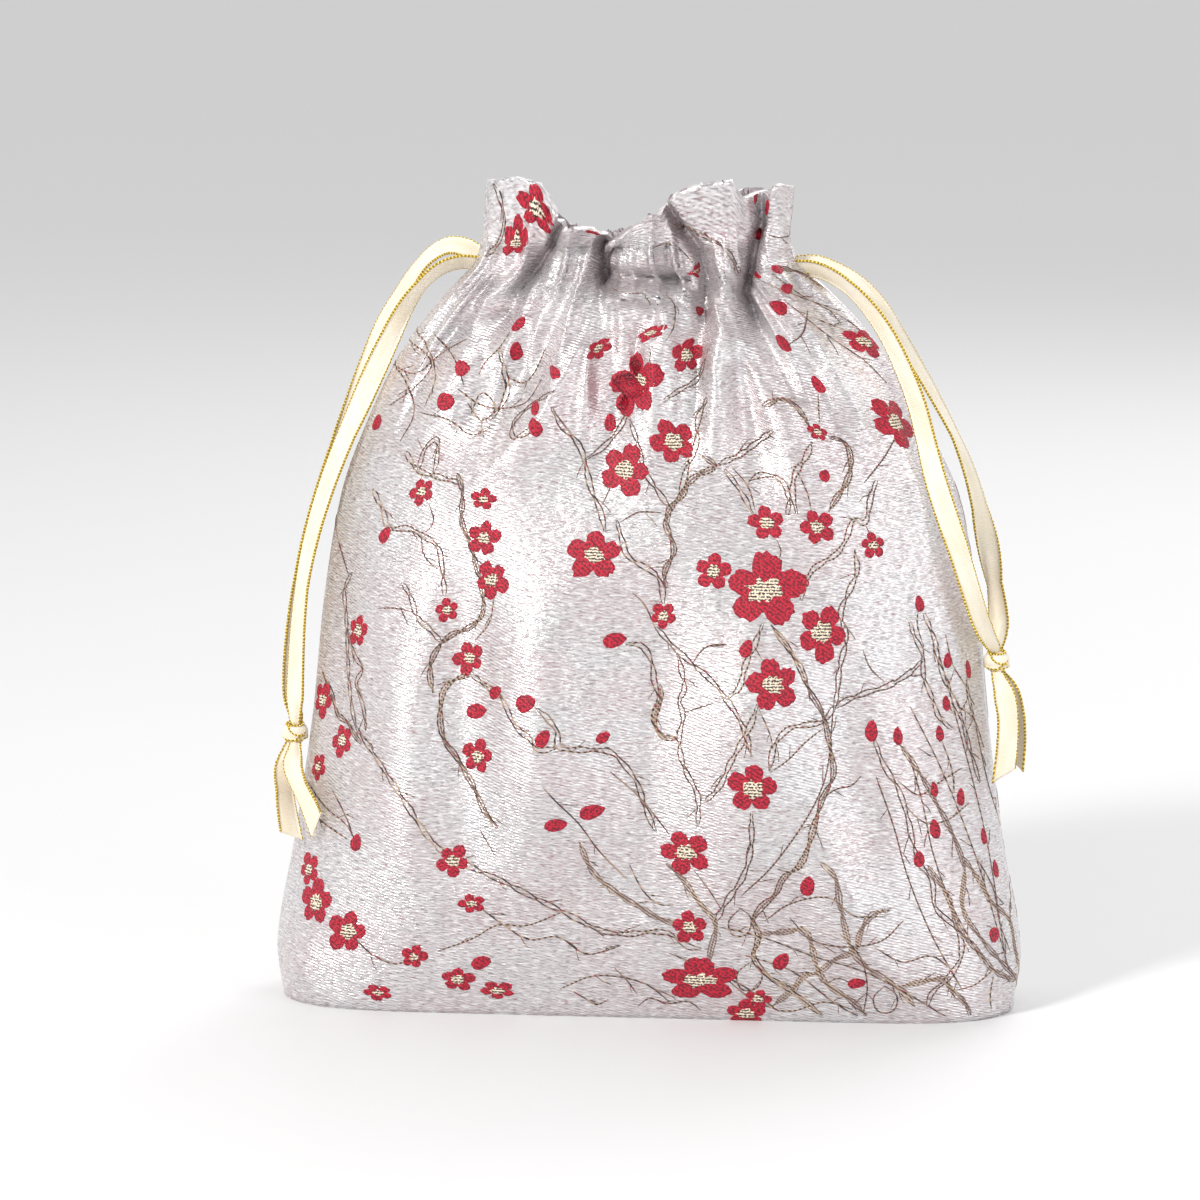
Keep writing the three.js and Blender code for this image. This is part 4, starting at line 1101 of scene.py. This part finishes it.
ROUTES = {
    "left_ribbon_front": [
        (-47.5, -1, 209), (-53, -1.4, 209.4), (-58.5, -2.5, 207.6), (-64, -3.5, 202.8), (-68.4, -4.2, 196.5),
        (-72.4, -5, 188.5), (-76.8, -5.6, 179), (-81, -6, 169.5), (-85.6, -6.4, 159), (-90.4, -6.8, 146.5),
        (-94.4, -7, 133.5), (-97.2, -7, 121), (-98.8, -7, 108.5), (-99.8, -6.8, 94), (-100.2, -6.6, 84),
        (-100.3, -6.4, 78.7)],
    "left_ribbon_back": [
        (-47.5, 1, 210.5), (-52, 1.5, 213.2), (-57, 2.4, 213.6), (-61.8, 3.2, 211), (-66, 3.6, 206.5),
        (-70.2, 3.8, 200), (-74.8, 3.2, 192), (-79.4, 2.4, 180), (-83.4, 1.8, 169), (-87.6, 1.2, 158),
        (-92.2, 0.6, 145), (-96, 0, 132.5), (-98.8, -0.8, 120), (-100.6, -1.8, 107), (-101.6, -2.6, 92),
        (-101.2, -3, 83), (-100.2, -3.6, 78.7)],
    "right_ribbon_front": [
        (41, -1, 208.4), (46, -1.6, 208.4), (51.8, -3.2, 206.4), (57.4, -5.4, 202.6), (62.6, -7.6, 197.4),
        (67.4, -9.6, 190.6), (71.8, -11, 182), (75.6, -12.6, 172.5), (78.4, -14.4, 162.5), (81, -16, 152.5),
        (84.4, -17, 142), (88, -17, 131.5), (91.2, -16, 121), (94.2, -13.4, 111.5), (96.8, -9.8, 105.5),
        (98, -7.4, 102.9)],
    "right_ribbon_back": [
        (41, 1, 209), (46, 1.6, 209.4), (52, 3, 207.4), (58.4, 4.6, 203.6), (64.2, 6, 197.6),
        (69.8, 6.8, 189), (75.6, 7, 179.5), (81, 7, 170), (86, 6.6, 160.5), (90.2, 5.8, 150),
        (93.2, 4.8, 139.5), (95.6, 3.4, 129.5), (97.4, 1.6, 120), (98.6, -0.8, 111.5),
        (98.8, -3, 106), (98.4, -4.8, 102.9)],
    "left_tail_front": [
        (-100.2, -7.4, 71.8), (-100, -12.6, 67.6), (-97.2, -18.4, 62.4), (-93.8, -22.6, 57.4),
        (-91.2, -25.8, 52.6)],
    "left_tail_back": [
        (-101.6, -4.8, 71.8), (-103, -7.2, 66), (-102.6, -11.2, 60), (-101.2, -15.6, 54), (-99.4, -19.4, 48)],
    "right_tail_front": [
        (98.8, -7.4, 95.9), (100.6, -9, 91), (101.8, -10.6, 84.5), (101.8, -12, 76.5), (101, -12.8, 68)],
    "right_tail_back": [
        (99, -4.6, 95.9), (101.8, -4.6, 91.5), (104, -5, 85), (104.8, -5.8, 77.5), (104.6, -6.6, 70)],
}
KNOTS = {"left": (-100.4, -5.4, 75.2), "right": (98.4, -6, 99.4)}

# The knot's turns: tilt, roll, radius and height in it.
KNOT_TURNS = [(0.0, 0.0, 2.5, 0.7), (0.55, 0.5, 2.25, 0.2), (-0.6, -0.6, 2.1, -0.5)]
KNOT_STEPS = 40

# How far each ribbon is turned about its own line, in degrees from facing the front, at shares of its length.
TURNS = {
    "left_ribbon_front": [
        (0, -45), (0.1, -62), (0.2, -25), (0.35, 30), (0.6, 48), (0.78, 30), (0.86, 0), (0.93, 30), (1, 20)],
    "left_ribbon_back": [
        (0, 35), (0.1, 55), (0.2, 35), (0.4, -40), (0.6, -58), (0.8, -35), (0.86, 0), (0.93, -50), (1, -30)],
    "right_ribbon_front": [
        (0, 35), (0.1, 50), (0.2, 40), (0.4, 25), (0.6, -28), (0.75, -45), (0.82, 0), (0.9, -25), (1, -15)],
    "right_ribbon_back": [
        (0, -35), (0.1, -50), (0.25, -60), (0.42, -75), (0.55, -50), (0.68, 45), (0.82, 0), (0.9, 40),
        (1, 55)],
}


def spline(points, spacing):
    """A smooth line through the points, sampled evenly."""
    points = np.array(points, float)
    ends = np.concatenate([[2 * points[0] - points[1]], points, [2 * points[-1] - points[-2]]])
    knots = np.concatenate([[0], np.cumsum(np.linalg.norm(np.diff(ends, axis=0), axis=1) ** 0.5)])
    dense = []
    for index in range(1, len(ends) - 2):
        t0, t1, t2, t3 = knots[index - 1: index + 3]
        p0, p1, p2, p3 = ends[index - 1: index + 3]
        for t in np.linspace(t1, t2, 24, endpoint=False):
            a1 = (t1 - t) / (t1 - t0) * p0 + (t - t0) / (t1 - t0) * p1
            a2 = (t2 - t) / (t2 - t1) * p1 + (t - t1) / (t2 - t1) * p2
            a3 = (t3 - t) / (t3 - t2) * p2 + (t - t2) / (t3 - t2) * p3
            b1 = (t2 - t) / (t2 - t0) * a1 + (t - t0) / (t2 - t0) * a2
            b2 = (t3 - t) / (t3 - t1) * a2 + (t - t1) / (t3 - t1) * a3
            dense.append((t2 - t) / (t2 - t1) * b1 + (t - t1) / (t2 - t1) * b2)
    dense = np.array(dense + [points[-1]])
    along = lengths_along(dense)
    return spaced(dense, along, max(2, int(round(along[-1] / spacing))) + 1)


def ribbon_section(width, cup):
    """Corners of a ribbon's cross-section as (across, out, is gold), cupped by a share of its width."""
    half = width / 2 - EDGE_RADIUS
    flat = np.linspace(-half, half, 9)
    bend = cup * width * (1 - (flat / half) ** 2)
    face = [(x, RIBBON_HALF_THICK + b, False) for x, b in zip(flat, bend)]
    back = [(x, -RIBBON_HALF_THICK + b, False) for x, b in zip(flat, bend)][::-1]
    edge = [
        (half + EDGE_RADIUS * (0.6 + math.cos(t)), EDGE_RADIUS * math.sin(t), True)
        for t in np.linspace(1.9, -1.9, 7)
    ]
    other = [(-x, -y, gold) for x, y, gold in edge]
    return face + edge + back + other


def sweep_ribbon(path, facing, width_at, cup_at, cut=0.0):
    """Points, faces, coordinates and gold flags of a ribbon swept along a line. facing gives its face's
    normal at each point, and cut slants its far end."""
    tangent = unit(np.gradient(path, axis=0))
    normal = unit(facing - (facing * tangent).sum(axis=1, keepdims=True) * tangent)
    across = np.cross(tangent, normal)
    along = lengths_along(path)
    points, uvs = [], []
    for index, centre in enumerate(path):
        section = ribbon_section(width_at[index], cup_at[index])
        near_end = smooth(along[-1] - 6, along[-1], along[index])
        for x, y, gold in section:
            slant = cut * near_end * x / RIBBON_WIDTH
            loops = EDGE_LOOPS * math.sin(along[index] * EDGE_LOOP_RATE + (2 if x > 0 else 0)) if gold else 0
            outward = across[index] * (x + loops * np.sign(x))
            points.append(centre + outward + normal[index] * y + tangent[index] * slant)
            uvs.append((along[index], x))
    size = len(section)
    faces, gold_faces = [], []
    for index in range(len(path) - 1):
        for corner in range(size):
            a = index * size + corner
            b = index * size + (corner + 1) % size
            faces.append((a, b, b + size, a + size))
            gold_faces.append(section[corner][2] and section[(corner + 1) % size][2])
    faces.append(tuple(range(size))[::-1])
    faces.append(tuple(range(size * (len(path) - 1), size * len(path))))
    gold_faces += [False, False]
    return points, faces, uvs, gold_faces


def free_ribbon(side, layer, materials):
    """One free end of a ribbon, from the casing through the knot to its cut end."""
    strand = f"{side}_ribbon_{layer}"
    tail = f"{side}_tail_{layer}"
    knot = np.array(KNOTS[side], float)
    nudge = np.array((0, -0.5 if layer == "front" else 0.5, 0))
    route = ROUTES[strand] + [tuple(knot + nudge)] + ROUTES[tail]
    path = spline(route, 0.9)
    along = lengths_along(path)
    turn = np.radians(np.interp(along / along[-1], *np.array(TURNS[strand], float).T))
    tangent = unit(np.gradient(path, axis=0))
    front = unit(np.array((0, -1, 0)) + tangent * tangent[:, 1:2])
    facing = front * np.cos(turn)[:, None] + np.cross(tangent, front) * np.sin(turn)[:, None]
    to_knot = np.linalg.norm(path - knot, axis=1)
    width = RIBBON_WIDTH * (0.5 + 0.5 * smooth(2.0, 12.0, to_knot))
    cup = 0.22 * (1 - smooth(1.5, 14.0, to_knot)) + 0.03
    points, faces, uvs, gold = sweep_ribbon(path, facing, width, cup, cut=4.5 if layer == "front" else -3.0)
    made = make_object(f"{side}_satin_{layer}", points, faces, uvs, materials, gold)
    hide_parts(strand, tail)
    return made, path, along[-1]


def knot_object(side, materials):
    """An overhand knot: three snug turns of the doubled ribbon, crossing each other."""
    centre = np.array(KNOTS[side], float)
    points, faces, uvs, gold = [], [], [], []
    angle = np.linspace(0, 2 * math.pi, KNOT_STEPS)
    for tilt, roll, radius, height in KNOT_TURNS:
        x, y = radius * 1.15 * np.cos(angle), radius * np.sin(angle)
        turn = np.stack([x, y, height + 0.5 * np.sin(angle)], axis=1)
        spin = Matrix.Rotation(roll, 3, "Y") @ Matrix.Rotation(tilt, 3, "X")
        turn = turn @ np.array(spin).T
        width, cup = np.full(KNOT_STEPS, 4.2), np.full(KNOT_STEPS, 0.14)
        turn_points, turn_faces, turn_uvs, turn_gold = sweep_ribbon(turn + centre, turn, width, cup)
        faces += [tuple(index + len(points) for index in face) for face in turn_faces]
        points += turn_points
        uvs += turn_uvs
        gold += turn_gold
    made = make_object(f"{side}_ribbon_knot", points, faces, uvs, materials, gold)
    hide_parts(f"{side}_knot")
    return made


def make_ribbons():
    materials = [satin_material(), gold_material()]
    for side in ("left", "right"):
        knot = knot_object(side, materials)
        for layer in ("front", "back"):
            made, path, length = free_ribbon(side, layer, materials)


# ---------------------------------------------------------------- the floor and lights


FLOOR_REACH = 20.0  # metres, past the top of the view
FRONT_GLOW = 0.42
BACK_GLOW = 1.1


def make_stage():
    """A plain floor under everything that the camera sees."""
    mesh = bpy.data.meshes.new("floor")
    signs = [(-1, -1), (1, -1), (1, 1), (-1, 1)]
    corners = [(x * FLOOR_REACH, y * FLOOR_REACH, 0) for x, y in signs]
    mesh.from_pydata(corners, [], [(0, 1, 2, 3)])
    mesh.materials.append(floor_material())
    floor = bpy.data.objects.new("floor", mesh)
    bpy.context.collection.objects.link(floor)


def add_light(name, place, target, size, power, colour=(1, 1, 1)):
    data = bpy.data.lights.new(name, "AREA")
    data.shape = "SQUARE"
    data.size = size
    data.energy = power
    data.color = colour
    light = bpy.data.objects.new(name, data)
    light.location = place
    light.rotation_euler = (Vector(target) - Vector(place)).to_track_quat("-Z", "Y").to_euler()
    bpy.context.collection.objects.link(light)


def make_lights():
    """A broad key from the upper left, a weak fill from the right, and a pale surround."""
    middle = (0, 0, 0.12)
    add_light("key", (-0.8, -1.15, 1.05), middle, 0.26, 22, (1.0, 0.985, 0.96))
    add_light("fill", (1.3, -0.9, 0.6), middle, 0.8, 8, (0.97, 0.98, 1.0))
    add_light("back", (0.5, 1.2, 1.1), middle, 0.8, 7)
    bpy.context.scene.world = surround()
    bpy.context.scene.view_settings.view_transform = "Standard"


def surround():
    """Pale all round behind the pouch and dimmer in front of it, so that the satin shows its folds."""
    world = bpy.data.worlds.new("surround")
    world.use_nodes = True
    tree = world.node_tree
    background = tree.nodes["Background"]
    where = tree.nodes.new("ShaderNodeTexCoord")
    split = tree.nodes.new("ShaderNodeSeparateXYZ")
    ease = tree.nodes.new("ShaderNodeMapRange")
    ease.interpolation_type = "SMOOTHSTEP"
    ease.inputs["From Min"].default_value = -0.5
    ease.inputs["From Max"].default_value = 0.5
    ease.inputs["To Min"].default_value = FRONT_GLOW
    ease.inputs["To Max"].default_value = BACK_GLOW
    background.inputs["Color"].default_value = (0.95, 0.945, 0.94, 1)
    tree.links.new(where.outputs["Generated"], split.inputs["Vector"])
    tree.links.new(split.outputs["Y"], ease.inputs["Value"])
    tree.links.new(ease.outputs["Result"], background.inputs["Strength"])
    return world


# ---------------------------------------------------------------- making it

make_camera()
make_ribbons()
make_stage()
make_lights()
FRONT, BACK = Panel("front"), Panel("back")
WEAVE = [brocade_material(), lining_material()]
YARNS = [petal_material(), heart_material(), twig_material(), tan_material()]
for panel, shift in ((FRONT, 0.0), (BACK, CLOTH_WIDTH * 0.45)):
    pattern = weave_pattern(panel, FRONT.shown, shift, YARNS)
    panel_object(panel, WEAVE)
